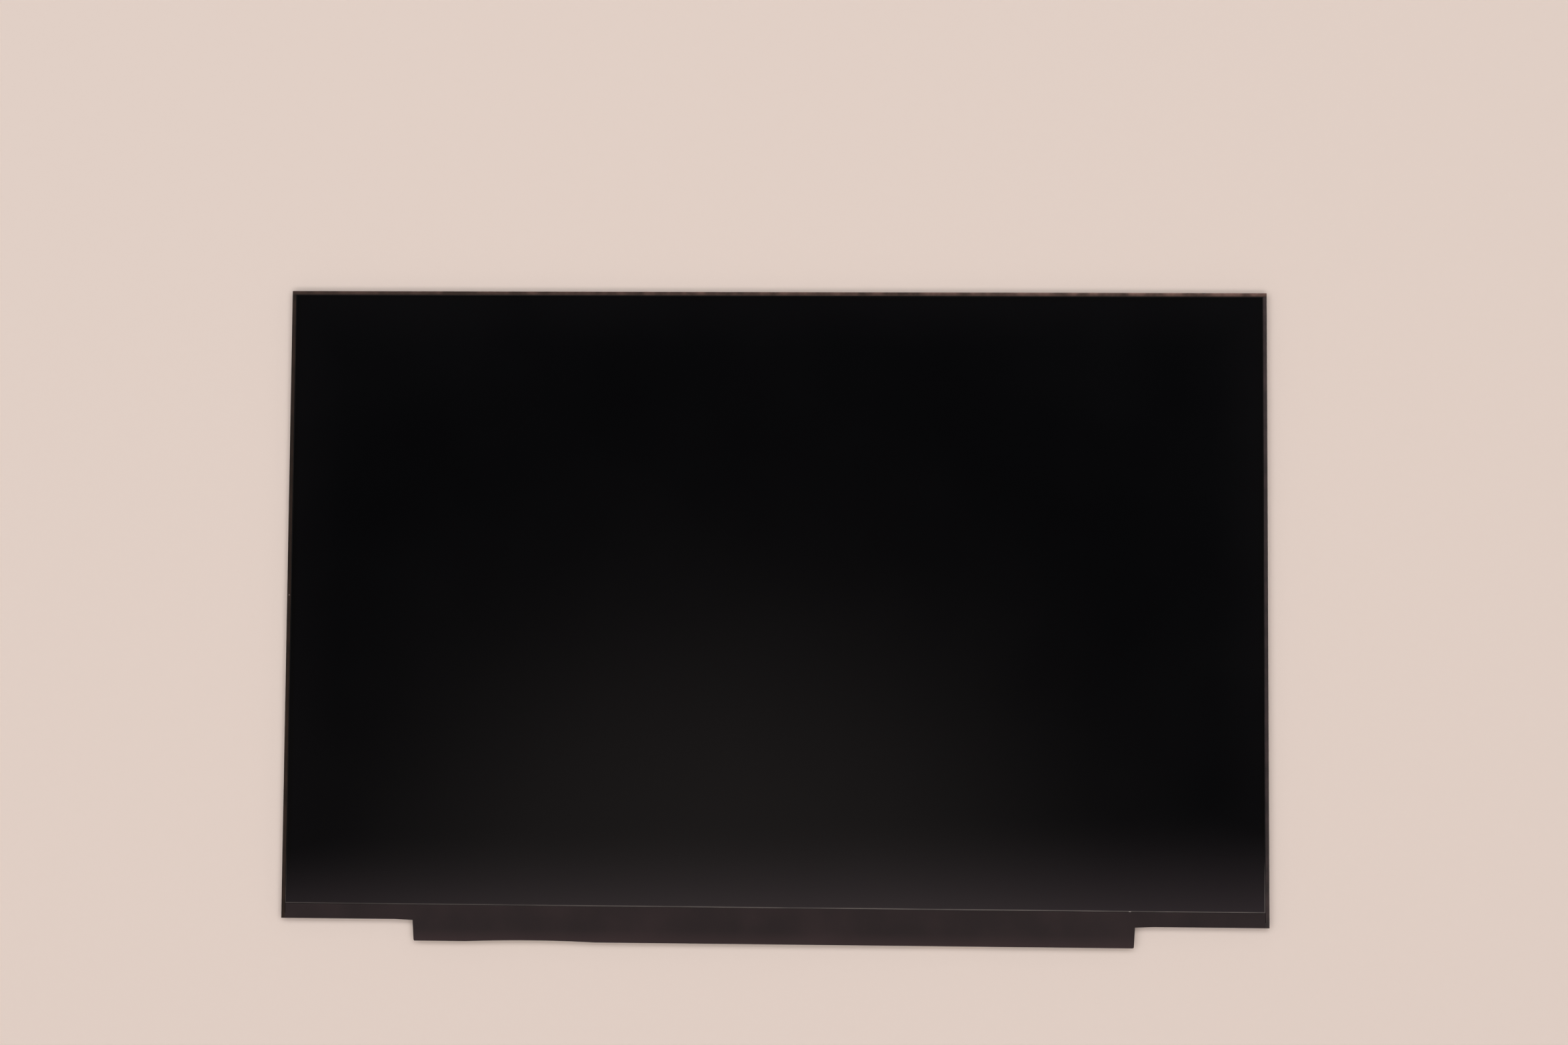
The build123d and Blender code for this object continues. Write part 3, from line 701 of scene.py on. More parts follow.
makeScreenSheet()
makeChinFilm()
# one tape, in painted lit and shaded tones per side
makeSideTape("rightTape", "right_edge_tape", 1, satinTape("rightLitPolyesterTape", edgeTape["rightLitTones"]))
makeSideTape("leftTape", "left_edge_tape", -1, satinTape("leftShadedPolyesterTape", edgeTape["leftShadedTones"]))
makeTopTape(satinTape("topLitPolyesterTape", edgeTape["topLitTones"], edgeTape["foldHighlightRun"]))
print("front sheets done")


# Metals, plastics and laminates of the back

# Rolled aluminium sheet: silver with faint lines along the rolling direction
rolledAluminium = mottledFinish(
    "rolledAluminium", ("#CDCFD1", "#D6D8DA"), cloud=1.6, gloss=(0.33, 0.37), grain=0.5, height=0.0012,
    stretch=(0.02, 1, 1), plain={"Metallic": 1.0})[0]
# Moulded polycarbonate: black, matt from a spark-eroded tool
mouldedPolycarbonate = mottledFinish(
    "mouldedPolycarbonate", ("#121111", "#1B1918"), cloud=9, gloss=(0.45, 0.55), grain=0.16, height=0.006)[0]
# Tin over copper or steel: soft bright grey, a little frosted by reflow
reflowedTin = mottledFinish(
    "reflowedTin", ("#B9BABA", "#D5D6D5"), cloud=0.5, gloss=(0.22, 0.36), grain=0.12, height=0.004,
    plain={"Metallic": 1.0})[0]
# Stamped stainless steel: bright, drawn lines along the strip
stampedSteel = mottledFinish(
    "stampedSteel", ("#B2B3B4", "#C8C9CA"), cloud=2.5, gloss=(0.22, 0.32), grain=0.2, height=0.0012,
    stretch=(0.06, 1, 1), plain={"Metallic": 1.0})[0]
# Gold flash on bronze: thin, warm and slightly dull
goldFlash = mottledFinish(
    "goldFlashedBronze", ("#C79A45", "#E0BC6C"), cloud=0.8, gloss=(0.20, 0.30), grain=0.1, height=0.001,
    plain={"Metallic": 1.0})[0]
# Moulded liquid crystal polymer: bone coloured, with flow lines
mouldedPolymer = mottledFinish(
    "mouldedCrystalPolymer", ("#C9BC9F", "#D8CDB6"), cloud=3, gloss=(0.38, 0.50), grain=0.1, height=0.003,
    stretch=(0.3, 1, 1))[0]
# Moulded epoxy: near black with a fine speckle of filler
mouldedEpoxy = mottledFinish(
    "mouldedEpoxy", ("#161617", "#222223"), cloud=0.35, gloss=(0.40, 0.52), grain=0.07, height=0.004)[0]
# Fired ceramic of capacitors: tan, smooth
firedCeramic = mottledFinish(
    "firedCeramic", ("#8A6A48", "#A5835C"), cloud=0.3, gloss=(0.30, 0.40), grain=0.06, height=0.002)[0]
# Overglaze of thick-film resistors: black glass
blackOverglaze = mottledFinish(
    "blackOverglaze", ("#0F1012", "#1A1B1E"), cloud=0.3, gloss=(0.12, 0.22), grain=0.15, height=0.003)[0]
# Pressed and sintered ferrite: charcoal, gritty
sinteredFerrite = mottledFinish(
    "sinteredFerrite", ("#2E2D2D", "#454342"), cloud=0.4, gloss=(0.50, 0.62), grain=0.09, height=0.008)[0]
# White ink band on a diode's body
printedBand = mottledFinish(
    "printedBand", ("#A9A9A6", "#BDBDBA"), cloud=0.3, gloss=(0.45, 0.55), grain=0.1, height=0.002)[0]
# Edge of glass and epoxy laminate: straw coloured, fibrous where it was routed
routedLaminate = mottledFinish(
    "routedLaminate", ("#8F8148", "#B4A66B"), cloud=0.6, gloss=(0.55, 0.70), grain=0.12, height=0.012,
    stretch=(0.4, 0.4, 3))[0]
# Polyimide flex: amber and smooth over copper
amberPolyimide = mottledFinish(
    "laminatedPolyimide", ("#8E5521", "#A86A2C"), cloud=4, gloss=(0.26, 0.36), grain=0.3, height=0.003)[0]
brownPolyimide = mottledFinish(
    "castPolyimide", ("#4A2F18", "#5E3D20"), cloud=4, gloss=(0.24, 0.34), grain=0.3, height=0.003)[0]
# Thinned silicon: blue-grey, mirror smooth
groundSilicon = mottledFinish(
    "groundSilicon", ("#3A3E49", "#4A4F5C"), cloud=3, gloss=(0.10, 0.16), grain=0.2, height=0.0006)[0]
# Float glass with the black mask printed inside it: black and glossy
maskedGlass = mottledFinish(
    "maskedFloatGlass", ("#050506", "#08080A"), cloud=30, gloss=(0.05, 0.09), grain=8, height=0.0004,
    plain={"IOR": 1.52})[0]
# Films of the backlight and the cell
whiteReflector = mottledFinish(
    "voidedPolyester", ("#E4E5E6", "#EEEFEF"), cloud=5, gloss=(0.40, 0.50), grain=0.2, height=0.002)[0]
castAcrylic = mottledFinish(
    "castAcrylic", ("#C9D2D4", "#D6DDDE"), cloud=20, gloss=(0.05, 0.09), grain=0.4, height=0.002,
    plain={"IOR": 1.49})[0]
frostedFilm = mottledFinish(
    "frostedPolyester", ("#D9DBDC", "#E6E7E8"), cloud=10, gloss=(0.50, 0.60), grain=0.1, height=0.004)[0]
ribbedFilm = mottledFinish(
    "ribbedPolyester", ("#C4C8CC", "#D2D6DA"), cloud=10, gloss=(0.18, 0.26), grain=0.3, height=0.02,
    stretch=(0.02, 1, 1))[0]
blackTape = mottledFinish(
    "blackFoamTape", ("#0E0E0E", "#171616"), cloud=3, gloss=(0.60, 0.72), grain=0.2, height=0.006)[0]
rearFilm = mottledFinish(
    "dyedTriacetate", ("#202428", "#2A2F34"), cloud=20, gloss=(0.15, 0.22), grain=0.4, height=0.001)[0]
ledResin = mottledFinish(
    "mouldedLedResin", ("#E2DFC8", "#EDE6B0"), cloud=1.2, gloss=(0.30, 0.40), grain=0.1, height=0.003)[0]
print("back finishes done")


groundFoil = {
    "thread": 0.35,         # mm, about twice the real pitch, so that it shows
    "threadHeight": 0.02,
    "tones": ("#B3B1AB", "#C1BFB9"),
}
bandsPerUnit = 20 / math.tau    # of the wave texture at scale 1


# Silvered cloth tape: a plain weave that glitters thread by thread
def silveredCloth():
    look = groundFoil
    finish, tree, shader, place = mottledFinish(
        "silveredPolyesterCloth", look["tones"], cloud=2.5, gloss=(0.30, 0.38), grain=0.15, height=0.004,
        plain={"Metallic": 1.0})
    bands = [
        addNode(tree, "ShaderNodeTexWave", {"Vector": place, "Scale": perSize(look["thread"]) / bandsPerUnit},
                wave_type="BANDS", bands_direction=axis)
        for axis in ("X", "Y")
    ]
    weave = addNode(tree, "ShaderNodeMath", {
        0: bands[0].outputs["Fac"], 1: bands[1].outputs["Fac"]}, operation="MAXIMUM")
    bump = addNode(tree, "ShaderNodeBump", {
        "Height": weave.outputs[0], "Distance": look["threadHeight"] * mm, "Strength": 0.8})
    feed(tree, shader, {"Normal": bump.outputs["Normal"]})
    return finish


# Control board and what is soldered to its back

controlBoard = {
    "corner": 0.5,          # mm
    "edgeBreak": 0.03,
    "trackRun": 11.0,
    "trackPitch": 0.36,
    "trackSpace": 0.07,
    "viaPitch": 2.4,
    "viaShare": 0.10,       # of the pitch, a via's radius
    "relief": 0.02,         # of tracks and vias under the mask
    "mask": "#143A22",
    "track": "#215634",
    "via": "#4C7A4A",
    "roughness": 0.28,
}
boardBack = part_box("control_board")[0].z


# Green solder mask over copper: deep green, with lighter tracks along the board and small vias
def greenSolderMask():
    look = controlBoard
    finish, tree, shader, place = newFinish("curedSolderMask")
    runs = addNode(tree, "ShaderNodeTexBrick", {
        "Vector": place, "Scale": 1.0, "Bias": 0.0,
        "Color1": (0, 0, 0, 1), "Color2": (1, 1, 1, 1), "Mortar": (0, 0, 0, 1),
        "Mortar Size": look["trackSpace"] * mm, "Mortar Smooth": 0.1,
        "Brick Width": look["trackRun"] * mm, "Row Height": look["trackPitch"] * mm,
    }, offset=0.37, squash=0.7, squash_frequency=3)  # uneven rows, of which about half are tracks
    tracks = addNode(tree, "ShaderNodeMapRange", {
        "Value": runs.outputs["Color"], "From Min": 0.45, "From Max": 0.55})
    vias = addNode(tree, "ShaderNodeTexVoronoi", {"Vector": place, "Scale": perSize(look["viaPitch"])})
    dots = addNode(tree, "ShaderNodeMath", {
        0: vias.outputs["Distance"], 1: look["viaShare"]}, operation="LESS_THAN")
    mask = addNode(tree, "ShaderNodeMix", {
        0: tracks.outputs["Result"], 6: linearColour(look["mask"]), 7: linearColour(look["track"]),
    }, data_type="RGBA")
    drilled = addNode(tree, "ShaderNodeMix", {
        0: dots.outputs[0], 6: mask.outputs[2], 7: linearColour(look["via"])}, data_type="RGBA")
    raised = addNode(tree, "ShaderNodeMath", {
        0: tracks.outputs["Result"], 1: dots.outputs[0]}, operation="MAXIMUM")
    bump = addNode(tree, "ShaderNodeBump", {
        "Height": raised.outputs[0], "Distance": look["relief"] * mm, "Strength": 0.8})
    feed(tree, shader, {
        "Base Color": drilled.outputs[2], "Roughness": look["roughness"], "Normal": bump.outputs["Normal"]})
    return finish


def makeBoard():
    low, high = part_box("control_board")
    piece = addBlock("controlBoard", low, high)
    pick(piece, "EDGE", lambda e: climb(e) > slack)
    bpy.ops.mesh.bevel(offset=controlBoard["corner"] * mm, segments=6, affect="EDGES")
    pick(piece, "EDGE", lambda e: e.calc_face_angle(0) > sharp and climb(e) < slack)
    bpy.ops.mesh.bevel(offset=controlBoard["edgeBreak"] * mm, segments=2, affect="EDGES")
    dress(piece, [greenSolderMask(), routedLaminate], lambda face: 0 if abs(face.normal.z) > 0.5 else 1)
    settle(piece, "board_laminate", "control_board")


solderWedge = {
    "landPitch": 0.5,       # mm
    "landWidth": 0.26,
    "reach": 0.24,
    "height": 0.20,
    "toe": 0.05,
    "edge": 0.03,
}


def makeWedge(name, width, reach, height):
    piece = addBlock(name, (-width / 2, -reach, -height), (width / 2, 0, 0))
    pick(piece, "EDGE", lambda e: middle(e).y < -reach + slack and middle(e).z < -height + slack)
    bpy.ops.transform.translate(value=(0, 0, height - solderWedge["toe"] * mm))
    applyModifier(piece, "BEVEL", width=solderWedge["edge"] * mm, segments=2, limit_method="ANGLE")
    dress(piece, [reflowedTin])
    return piece


moulding = {
    "chamfer": 0.08,        # mm
    "sideBreak": 0.04,
    "dimpleRadius": 0.22,
    "dimpleDepth": 0.05,
    "dimpleInset": 0.55,
}
chips = {
    "timingChip": ("timing_controller", "XY"),      # sides that have lands
    "powerChip": ("power_chip", "XY"),
    "ledDriverChip": ("led_driver_chip", "XY"),
    "levelShifterChip": ("level_shifter_chip", "XY"),
    "memoryChip": ("memory_chip", "X"),
}


def landPlaces(length):
    pitch = solderWedge["landPitch"] * mm
    count = int((length - pitch) / pitch)
    return [pitch * (i - (count - 1) / 2) for i in range(count)]


def makeChip(name, node, sides):
    look = moulding
    low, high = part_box(node)
    centre = (low + high) / 2
    body = addBlock(name, low, high)
    pick(body, "EDGE", lambda e: middle(e).z < low.z + slack)
    bpy.ops.mesh.bevel(offset=look["chamfer"] * mm, segments=1, affect="EDGES")
    pick(body, "EDGE", lambda e: climb(e) > 2 * look["chamfer"] * mm)
    bpy.ops.mesh.bevel(offset=look["sideBreak"] * mm, segments=2, affect="EDGES")
    bpy.ops.object.mode_set(mode="OBJECT")
    mark = Vector((low.x + look["dimpleInset"] * mm, low.y + look["dimpleInset"] * mm, low.z))
    cutAway(body, addDisc("dimple", mark, look["dimpleRadius"] * mm, 2 * look["dimpleDepth"] * mm, 24))
    dress(body, [mouldedEpoxy])
    land = makeWedge("land", *[solderWedge[key] * mm for key in ("landWidth", "reach", "height")])
    pieces = [body]
    half = (high - low) / 2
    if "X" in sides:
        for step in landPlaces(2 * half.y):
            pieces.append(twinOf(land, (high.x, centre.y + step, boardBack), math.pi / 2))
            pieces.append(twinOf(land, (low.x, centre.y + step, boardBack), -math.pi / 2))
    if "Y" in sides:
        for step in landPlaces(2 * half.x):
            pieces.append(twinOf(land, (centre.x + step, low.y, boardBack)))
            pieces.append(twinOf(land, (centre.x + step, high.y, boardBack), math.pi))
    bpy.data.objects.remove(land)
    settle(joinAll(name, pieces), "chip_epoxy", node)


passives = {
    "apart": 0.55,          # mm, the least space between two of them
    "capLength": 0.26,
    "waist": 0.88,
    "edge": 0.035,
}


def makePassives(name, node, slot, bodyFinish):
    look = passives
    boxes = partBoxes(node, look["apart"] * mm)
    low, high = boxes[0]
    centre = (low + high) / 2
    one = addBlock(name, low, high)
    capLines = (low.y + look["capLength"] * mm, high.y - look["capLength"] * mm)
    for y in capLines:
        splitAt(one, (0, y, 0), (0, 1, 0))

    def onWaist(spot):
        return capLines[0] < spot.y < capLines[1]

    pick(one, "FACE", lambda f: onWaist(middle(f)))
    bpy.ops.mesh.extrude_region_move(TRANSFORM_OT_translate=slide((0, 0, 0)))
    bpy.ops.transform.resize(value=(look["waist"], 1, look["waist"]), center_override=centre)
    applyModifier(one, "BEVEL", width=look["edge"] * mm, segments=2, limit_method="ANGLE")
    dress(one, [bodyFinish, reflowedTin], lambda face: 0 if onWaist(face.center) else 1)
    twins = [twinOf(one, box[0] - low) for box in boxes[1:]]
    settle(joinAll(name, [one] + twins), slot, node)


inductor = {
    "apart": 10.0,          # mm, the least space between two of them
    "corner": 0.8,
    "edge": 0.10,
    "grooveRadius": 1.45,
    "grooveWidth": 0.11,
    "terminalWidth": 1.7,
    "terminalHeight": 0.35,
}


def makeInductors():
    look = inductor
    boxes = partBoxes("power_inductors", look["apart"] * mm)
    low, high = boxes[0]
    centre = (low + high) / 2
    body = addBlock("powerInductors", low, high)
    pick(body, "EDGE", lambda e: climb(e) > slack)
    bpy.ops.mesh.bevel(offset=look["corner"] * mm, segments=8, affect="EDGES")
    pick(body, "EDGE", lambda e: e.calc_face_angle(0) > sharp and middle(e).z < low.z + slack)
    bpy.ops.mesh.bevel(offset=look["edge"] * mm, segments=3, affect="EDGES")
    startFresh()
    bpy.ops.mesh.primitive_torus_add(
        major_radius=look["grooveRadius"] * mm, minor_radius=look["grooveWidth"] * mm,
        major_segments=64, minor_segments=12, location=(centre.x, centre.y, low.z))
    cutAway(body, bpy.context.active_object)
    dress(body, [sinteredFerrite])
    terminal = makeWedge(
        "terminal", look["terminalWidth"] * mm, solderWedge["reach"] * mm, look["terminalHeight"] * mm)
    ends = [
        twinOf(terminal, (high.x, centre.y, boardBack), math.pi / 2),
        twinOf(terminal, (low.x, centre.y, boardBack), -math.pi / 2),
    ]
    bpy.data.objects.remove(terminal)
    one = joinAll("powerInductors", [body] + ends)
    twins = [twinOf(one, box[0] - low) for box in boxes[1:]]
    settle(joinAll("powerInductors", [one] + twins), "ferrite", "power_inductors")


diode = {
    "apart": 10.0,          # mm, the least space between two of them
    "leadLength": 0.22,     # out of the body
    "leadWidth": 1.0,
    "leadSheet": 0.22,
    "leadEdge": 0.05,
    "chamfer": 0.12,
    "bandFrom": 0.30,
    "bandTo": 0.62,
}


def makeDiodes():
    look = diode
    boxes = partBoxes("rectifier_diodes", look["apart"] * mm)
    low, high = boxes[0]
    centre = (low + high) / 2
    out = Vector((look["leadLength"] * mm, 0, 0))
    body = addBlock("rectifierDiodes", low + out, high - out)
    pick(body, "EDGE", lambda e: middle(e).z < low.z + slack)
    bpy.ops.mesh.bevel(offset=look["chamfer"] * mm, segments=2, affect="EDGES")
    bandStart = low.x + (look["leadLength"] + look["bandFrom"]) * mm
    bandEnd = low.x + (look["leadLength"] + look["bandTo"]) * mm
    for x in (bandStart, bandEnd):
        splitAt(body, (x, 0, 0), (1, 0, 0))
    dress(body, [mouldedEpoxy, printedBand],
          lambda face: 1 if bandStart < face.center.x < bandEnd and face.normal.z < -0.5 else 0)
    halfWidth = look["leadWidth"] / 2 * mm
    leads = []
    for start, end in ((low.x, low.x + 2 * out.x), (high.x - 2 * out.x, high.x)):
        lead = addBlock(
            "lead", (start, centre.y - halfWidth, boardBack - look["leadSheet"] * mm),
            (end, centre.y + halfWidth, boardBack))
        applyModifier(lead, "BEVEL", width=look["leadEdge"] * mm, segments=2, limit_method="ANGLE")
        dress(lead, [reflowedTin])
        leads.append(lead)
    one = joinAll("rectifierDiodes", [body] + leads)
    twins = [twinOf(one, box[0] - low) for box in boxes[1:]]
    settle(joinAll("rectifierDiodes", [one] + twins), "chip_epoxy", "rectifier_diodes")


socketShell = {
    "sheet": 0.12,          # mm
    "foot": 0.8,
    "fold": 0.16,
    "windows": 5,
    "window": (1.9, 0.75),
}


def makeSocketShell():
    look = socketShell
    low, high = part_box("connector_shell")
    sheet, foot = look["sheet"] * mm, look["foot"] * mm
    left, right = low.x + foot, high.x - foot
    piece = addGrid("socketShell", (left, low.y, low.z), (right, high.y, low.z), 1, 1)
    for side, x in ((-1, left), (1, right)):
        pick(piece, "EDGE", lambda e: all(abs(v.co.x - x) < slack for v in e.verts))
        bpy.ops.mesh.extrude_region_move(TRANSFORM_OT_translate=slide((0, 0, high.z - low.z - sheet)))
        bpy.ops.mesh.extrude_region_move(TRANSFORM_OT_translate=slide((side * foot, 0, 0)))
    pick(piece, "EDGE", lambda e: len(e.link_faces) == 2 and e.calc_face_angle(0) > sharp)
    bpy.ops.mesh.bevel(offset=look["fold"] * mm, segments=4, affect="EDGES")
    thickenSheet(piece, sheet, -1)
    width, depth = (size * mm for size in look["window"])
    step = (right - left) / look["windows"]
    for i in range(look["windows"]):
        x = left + step * (i + 0.5)
        y = (low.y + high.y) / 2
        lower = (x - width / 2, y - depth / 2, low.z - sheet)
        upper = (x + width / 2, y + depth / 2, low.z + 3 * sheet)
        cutAway(piece, addBlock("window", lower, upper))
    dress(piece, [stampedSteel])
    settle(piece, "shell_steel", "connector_shell")


testPads = {
    "radius": 0.42,         # mm
    "height": 0.03,
    "pitch": 2.3,
    "runs": ((-96.5, -76.0), (71.0, 96.5)),     # along X
    "rows": (-102.1, -104.8),                   # along Y
}


def makeTestPads():
    look = testPads
    height = look["height"] * mm
    pads = []
    for first, last in look["runs"]:
        count = int((last - first) / look["pitch"]) + 1
        for i in range(count):
            for y in look["rows"]:
                pads.append(Vector((first + i * look["pitch"], y, 0)) * mm)
    start = pads[0] + Vector((0, 0, boardBack - height / 2))
    one = addDisc("testPads", start, look["radius"] * mm, height, 20)
    pick(one, "EDGE", lambda e: middle(e).z < boardBack - height + slack)
    bpy.ops.mesh.bevel(offset=height / 2, segments=2, affect="EDGES")
    dress(one, [goldFlash])
    twins = [twinOf(one, pad - pads[0]) for pad in pads[1:]]
    settle(joinAll("testPads", [one] + twins), "contact_gold")


tailSolder = {
    "count": 8,
    "pitch": 1.0,           # mm
    "bump": (0.6, 0.7, 0.14),
    "inset": 0.15,          # from the tail's end
    "tailSheet": 0.1,
}


def makeTailSolder():
    look = tailSolder
    tail = [v.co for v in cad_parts["led_flex"].data.vertices if v.co.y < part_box("mid_frame")[0].y]
    middleX = sum(spot.x for spot in tail) / len(tail)
    end = min(spot.y for spot in tail)
    back = max(spot.z for spot in tail if spot.y < end + slack) - look["tailSheet"] * mm
    width, depth, height = (size * mm for size in look["bump"])
    x = middleX - (look["count"] - 1) / 2 * look["pitch"] * mm
    y = end - look["inset"] * mm
    one = addBlock("tailSolder", (x - width / 2, y, back - height), (x + width / 2, y + depth, boardBack))
    applyModifier(one, "SUBSURF", levels=2, render_levels=2)
    dress(one, [reflowedTin])
    twins = [twinOf(one, (i * look["pitch"] * mm, 0, 0)) for i in range(1, look["count"])]
    settle(joinAll("tailSolder", [one] + twins), "shell_steel", angle=60)


makeBoard()
for name, (node, sides) in chips.items():
    makeChip(name, node, sides)
makePassives("chipCapacitors", "chip_capacitors", "capacitor_ceramic", firedCeramic)
makePassives("chipResistors", "chip_resistors", "resistor_glaze", blackOverglaze)
makeInductors()
makeDiodes()
makeSocketShell()
makeTestPads()
makeTailSolder()
print("board done")

# Finishes of the solids that keep their own shape
nodeFinishes = {
    "rear_cover": rolledAluminium,
    "mid_frame": mouldedPolycarbonate,
    "reflector_sheet": whiteReflector,
    "light_guide_plate": castAcrylic,
    "lower_diffuser_sheet": frostedFilm,
    "lower_prism_sheet": ribbedFilm,
    "upper_prism_sheet": ribbedFilm,
    "upper_diffuser_sheet": frostedFilm,
    "led_flex": amberPolyimide,
    "leds": ledResin,
    "rim_tape": blackTape,
    "rear_polariser": rearFilm,
    "tft_glass": maskedGlass,
    "colour_filter_glass": maskedGlass,
    "connector_housing": mouldedPolymer,
    "connector_contacts": goldFlash,
    "left_ground_foil": silveredCloth(),
}
nodeFinishes["right_ground_foil"] = nodeFinishes["left_ground_foil"]
for number in range(1, 5):
    nodeFinishes[f"driver_flex_{number}"] = brownPolyimide
    nodeFinishes[f"driver_chip_{number}"] = groundSilicon
for node, finish in nodeFinishes.items():
    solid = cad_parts[node]
    solid.data.materials.clear()
    solid.data.materials.append(finish)
print("solids finished:", len(nodeFinishes))


# Camera, where the photograph was taken from

view = {
    "place": (22.72, -10.5, 683.2),         # mm
    "turn": (2.931, 1.651, 0.393),          # degrees
    "lens": 50.0,                           # mm
    "sensor": 36.0,
    "nearest": 10.0,
}
camera = bpy.data.objects.new("camera", bpy.data.cameras.new("camera"))
bpy.context.scene.collection.objects.link(camera)
camera.location = Vector(view["place"]) * mm
camera.rotation_euler = [math.radians(angle) for angle in view["turn"]]
camera.data.lens = view["lens"]
camera.data.sensor_width = view["sensor"]
camera.data.clip_start = view["nearest"] * mm
bpy.context.scene.camera = camera
bpy.context.scene.view_settings.view_transform = "Standard"


# Studio: a pale floor, soft boxes at the sides and a dark ceiling over the screen

studio = {
    "floorSize": 4.0,       # m
    "fade": (0.55, 1.25),   # m from the middle, where the floor passes into the backdrop
    "floorDrop": 0.05,      # mm, below the panel's back
    "floorTones": ("#E0D1C8", "#DFD1C9"),
    "floorPatch": 400.0,    # mm
    "floorRoughness": 0.85,
    "floorSpecular": 0.2,
    "nearRay": 3.0,         # mm, light from below passes the floor this close to the panel
    "horizon": "#DFD1C8",
    "ceiling": "#2A2C30",
    "skyRise": (0.05, 0.8),     # where the horizon starts to darken and where the ceiling is reached
    "glow": "#E7D8D3",      # a soft patch of the ceiling, mirrored low in the screen
    "glowPlace": (-0.055, -0.155, 0.986),
    "glowSpread": (0.981, 0.9965),      # cosines, where it starts and where it is full
}
softBoxes = {  # in m and W
    "topBox": {"place": (0.0, 1.00, 1.60), "size": (2.2, 0.7), "power": 15.4, "colour": "#FFFFFF"},
    "leftBox": {"place": (-1.30, 0.0, 1.42), "size": (1.4, 0.7), "power": 7.7, "colour": "#FFFFFF"},
    "rightBox": {"place": (1.10, 0.0, 1.56), "size": (1.4, 0.7), "power": 7.0, "colour": "#FFFFFF"},
    "frontBox": {"place": (0.0, -1.05, 1.60), "size": (2.2, 0.7), "power": 12.8, "colour": "#FFF8F4"},
}


# Painted board: pale, matt, a little uneven
def paintedBoard():
    finish, tree, shader, place = newFinish("mattPaintedBoard")
    tones = [linearColour(tone) for tone in studio["floorTones"]]
    uneven = patches(tree, place, studio["floorPatch"], (0.0, 1.0), detail=2.0)
    colour = addNode(tree, "ShaderNodeMix", {0: uneven, 6: tones[0], 7: tones[1]}, data_type="RGBA")
    feed(tree, shader, {
        "Base Color": colour.outputs[2], "Roughness": studio["floorRoughness"],
        "Specular IOR Level": studio["floorSpecular"],
    })
    # see-through from below, far out, and for light that leaves the panel's back close above it
    path = addNode(tree, "ShaderNodeLightPath", {})
    near = addNode(tree, "ShaderNodeMath", {
        0: path.outputs["Ray Length"], 1: studio["nearRay"] * mm}, operation="LESS_THAN")
    unseen = addNode(tree, "ShaderNodeMath", {0: 1.0, 1: path.outputs["Is Camera Ray"]}, operation="SUBTRACT")
    passing = addNode(tree, "ShaderNodeMath", {
        0: near.outputs[0], 1: unseen.outputs[0]}, operation="MULTIPLY")
    side = addNode(tree, "ShaderNodeNewGeometry", {})
    either = addNode(tree, "ShaderNodeMath", {
        0: passing.outputs[0], 1: side.outputs["Backfacing"]}, operation="MAXIMUM")
    spread = addNode(tree, "ShaderNodeVectorMath", {0: place}, operation="LENGTH")
    far = addNode(tree, "ShaderNodeMapRange", {
        "Value": spread.outputs["Value"], "From Min": studio["fade"][0], "From Max": studio["fade"][1],
    }, interpolation_type="SMOOTHSTEP")
    gone = addNode(tree, "ShaderNodeMath", {
        0: either.outputs[0], 1: far.outputs["Result"]}, operation="MAXIMUM")
    clear = addNode(tree, "ShaderNodeBsdfTransparent", {})
    both = addNode(tree, "ShaderNodeMixShader", {
        0: gone.outputs[0], 1: shader.outputs["BSDF"], 2: clear.outputs["BSDF"]})
    feed(tree, tree.nodes["Material Output"], {"Surface": both.outputs["Shader"]})
    return finish


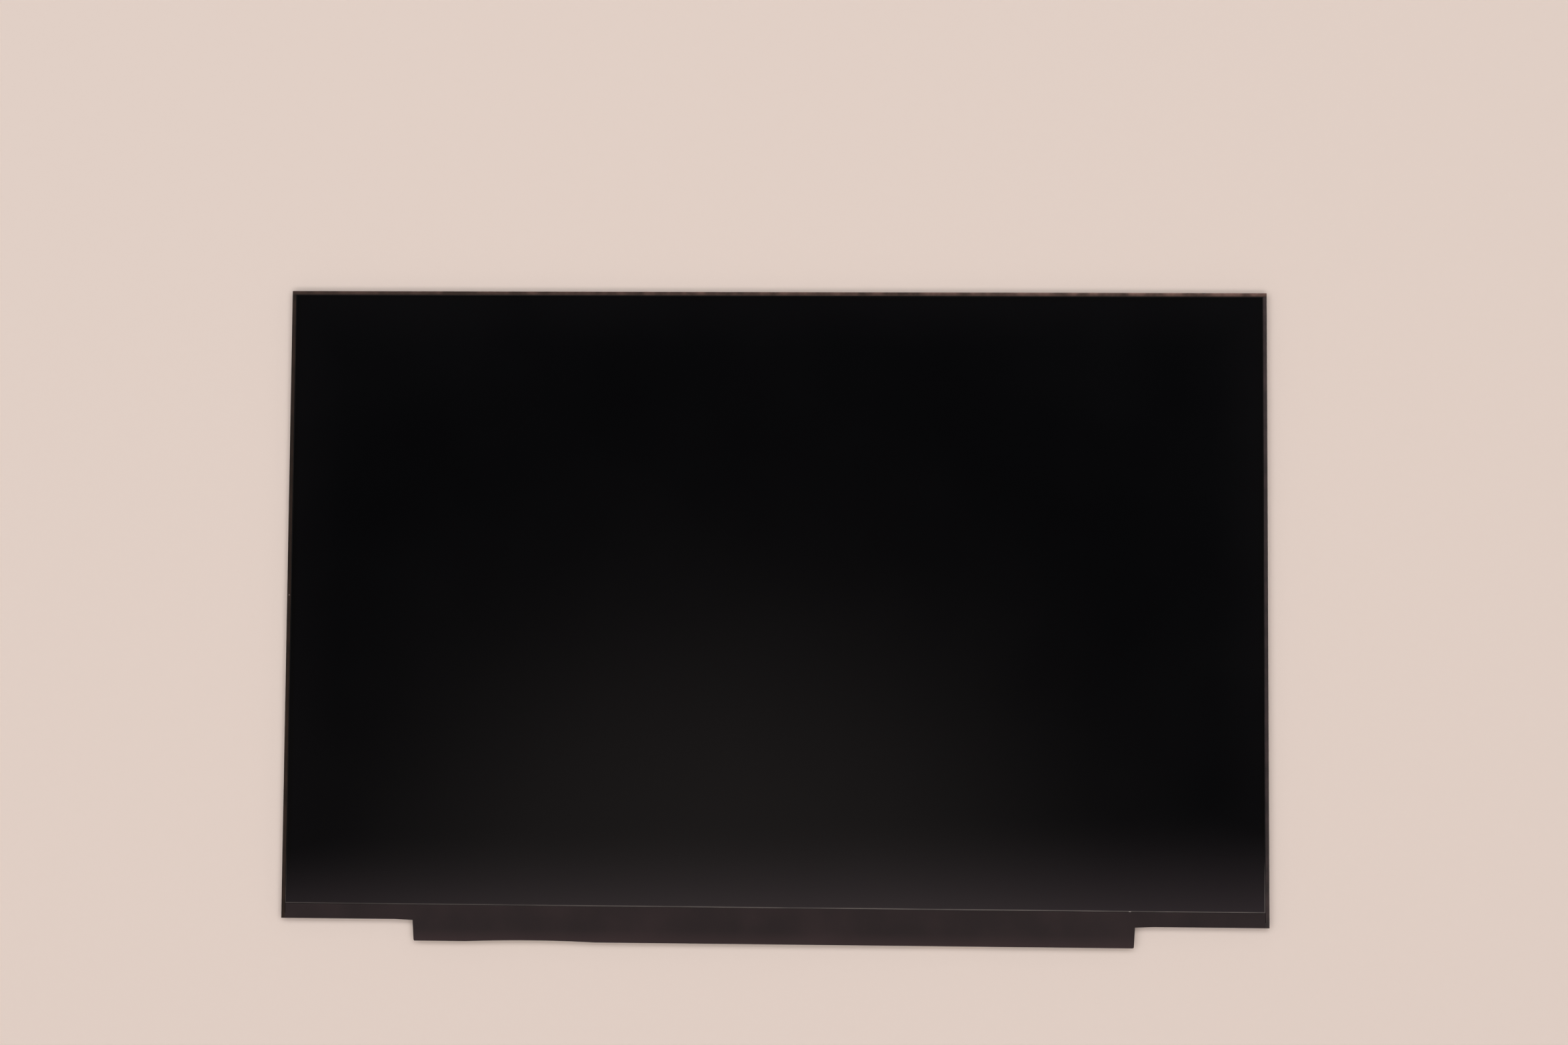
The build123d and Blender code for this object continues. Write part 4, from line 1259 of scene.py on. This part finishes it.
startFresh()
bpy.ops.mesh.primitive_plane_add(size=studio["floorSize"], location=(0, 0, -studio["floorDrop"] * mm))
floor = bpy.context.active_object
floor.name = "floor"
floor.data.materials.append(paintedBoard())

for name, box in softBoxes.items():
    lamp = bpy.data.objects.new(name, bpy.data.lights.new(name, "AREA"))
    bpy.context.scene.collection.objects.link(lamp)
    lamp.data.shape = "RECTANGLE"
    lamp.data.size, lamp.data.size_y = box["size"]
    lamp.data.energy = box["power"]
    lamp.data.color = linearColour(box["colour"])[:3]
    lamp.location = box["place"]
    lamp.rotation_euler = (-Vector(box["place"])).to_track_quat("-Z", "Y").to_euler()
    lamp.visible_camera = False

world = bpy.data.worlds.new("room")
world.use_nodes = True
bpy.context.scene.world = world
tree = world.node_tree
direction = addNode(tree, "ShaderNodeTexCoord", {}).outputs["Generated"]
height = addNode(tree, "ShaderNodeSeparateXYZ", {0: direction})
toGlow = addNode(tree, "ShaderNodeVectorMath", {
    0: direction, 1: studio["glowPlace"]}, operation="DOT_PRODUCT")
rise, glowing = [
    addNode(tree, "ShaderNodeMapRange", {
        "Value": value, "From Min": studio[span][0], "From Max": studio[span][1],
    }, interpolation_type="SMOOTHSTEP")
    for value, span in ((height.outputs["Z"], "skyRise"), (toGlow.outputs["Value"], "glowSpread"))
]
ceiling = addNode(tree, "ShaderNodeMix", {
    0: glowing.outputs["Result"], 6: linearColour(studio["ceiling"]), 7: linearColour(studio["glow"]),
}, data_type="RGBA")
sky = addNode(tree, "ShaderNodeMix", {
    0: rise.outputs["Result"], 6: linearColour(studio["horizon"]), 7: ceiling.outputs[2],
}, data_type="RGBA")
sight = addNode(tree, "ShaderNodeLightPath", {}).outputs["Is Camera Ray"]
# seen straight on, the backdrop is pale all round; reflections take the sky, pale at the horizon too
backdrop = addNode(tree, "ShaderNodeMix", {
    0: sight, 6: sky.outputs[2], 7: linearColour(studio["horizon"])}, data_type="RGBA")
feed(tree, tree.nodes["Background"], {"Color": backdrop.outputs[2]})
print("studio done")
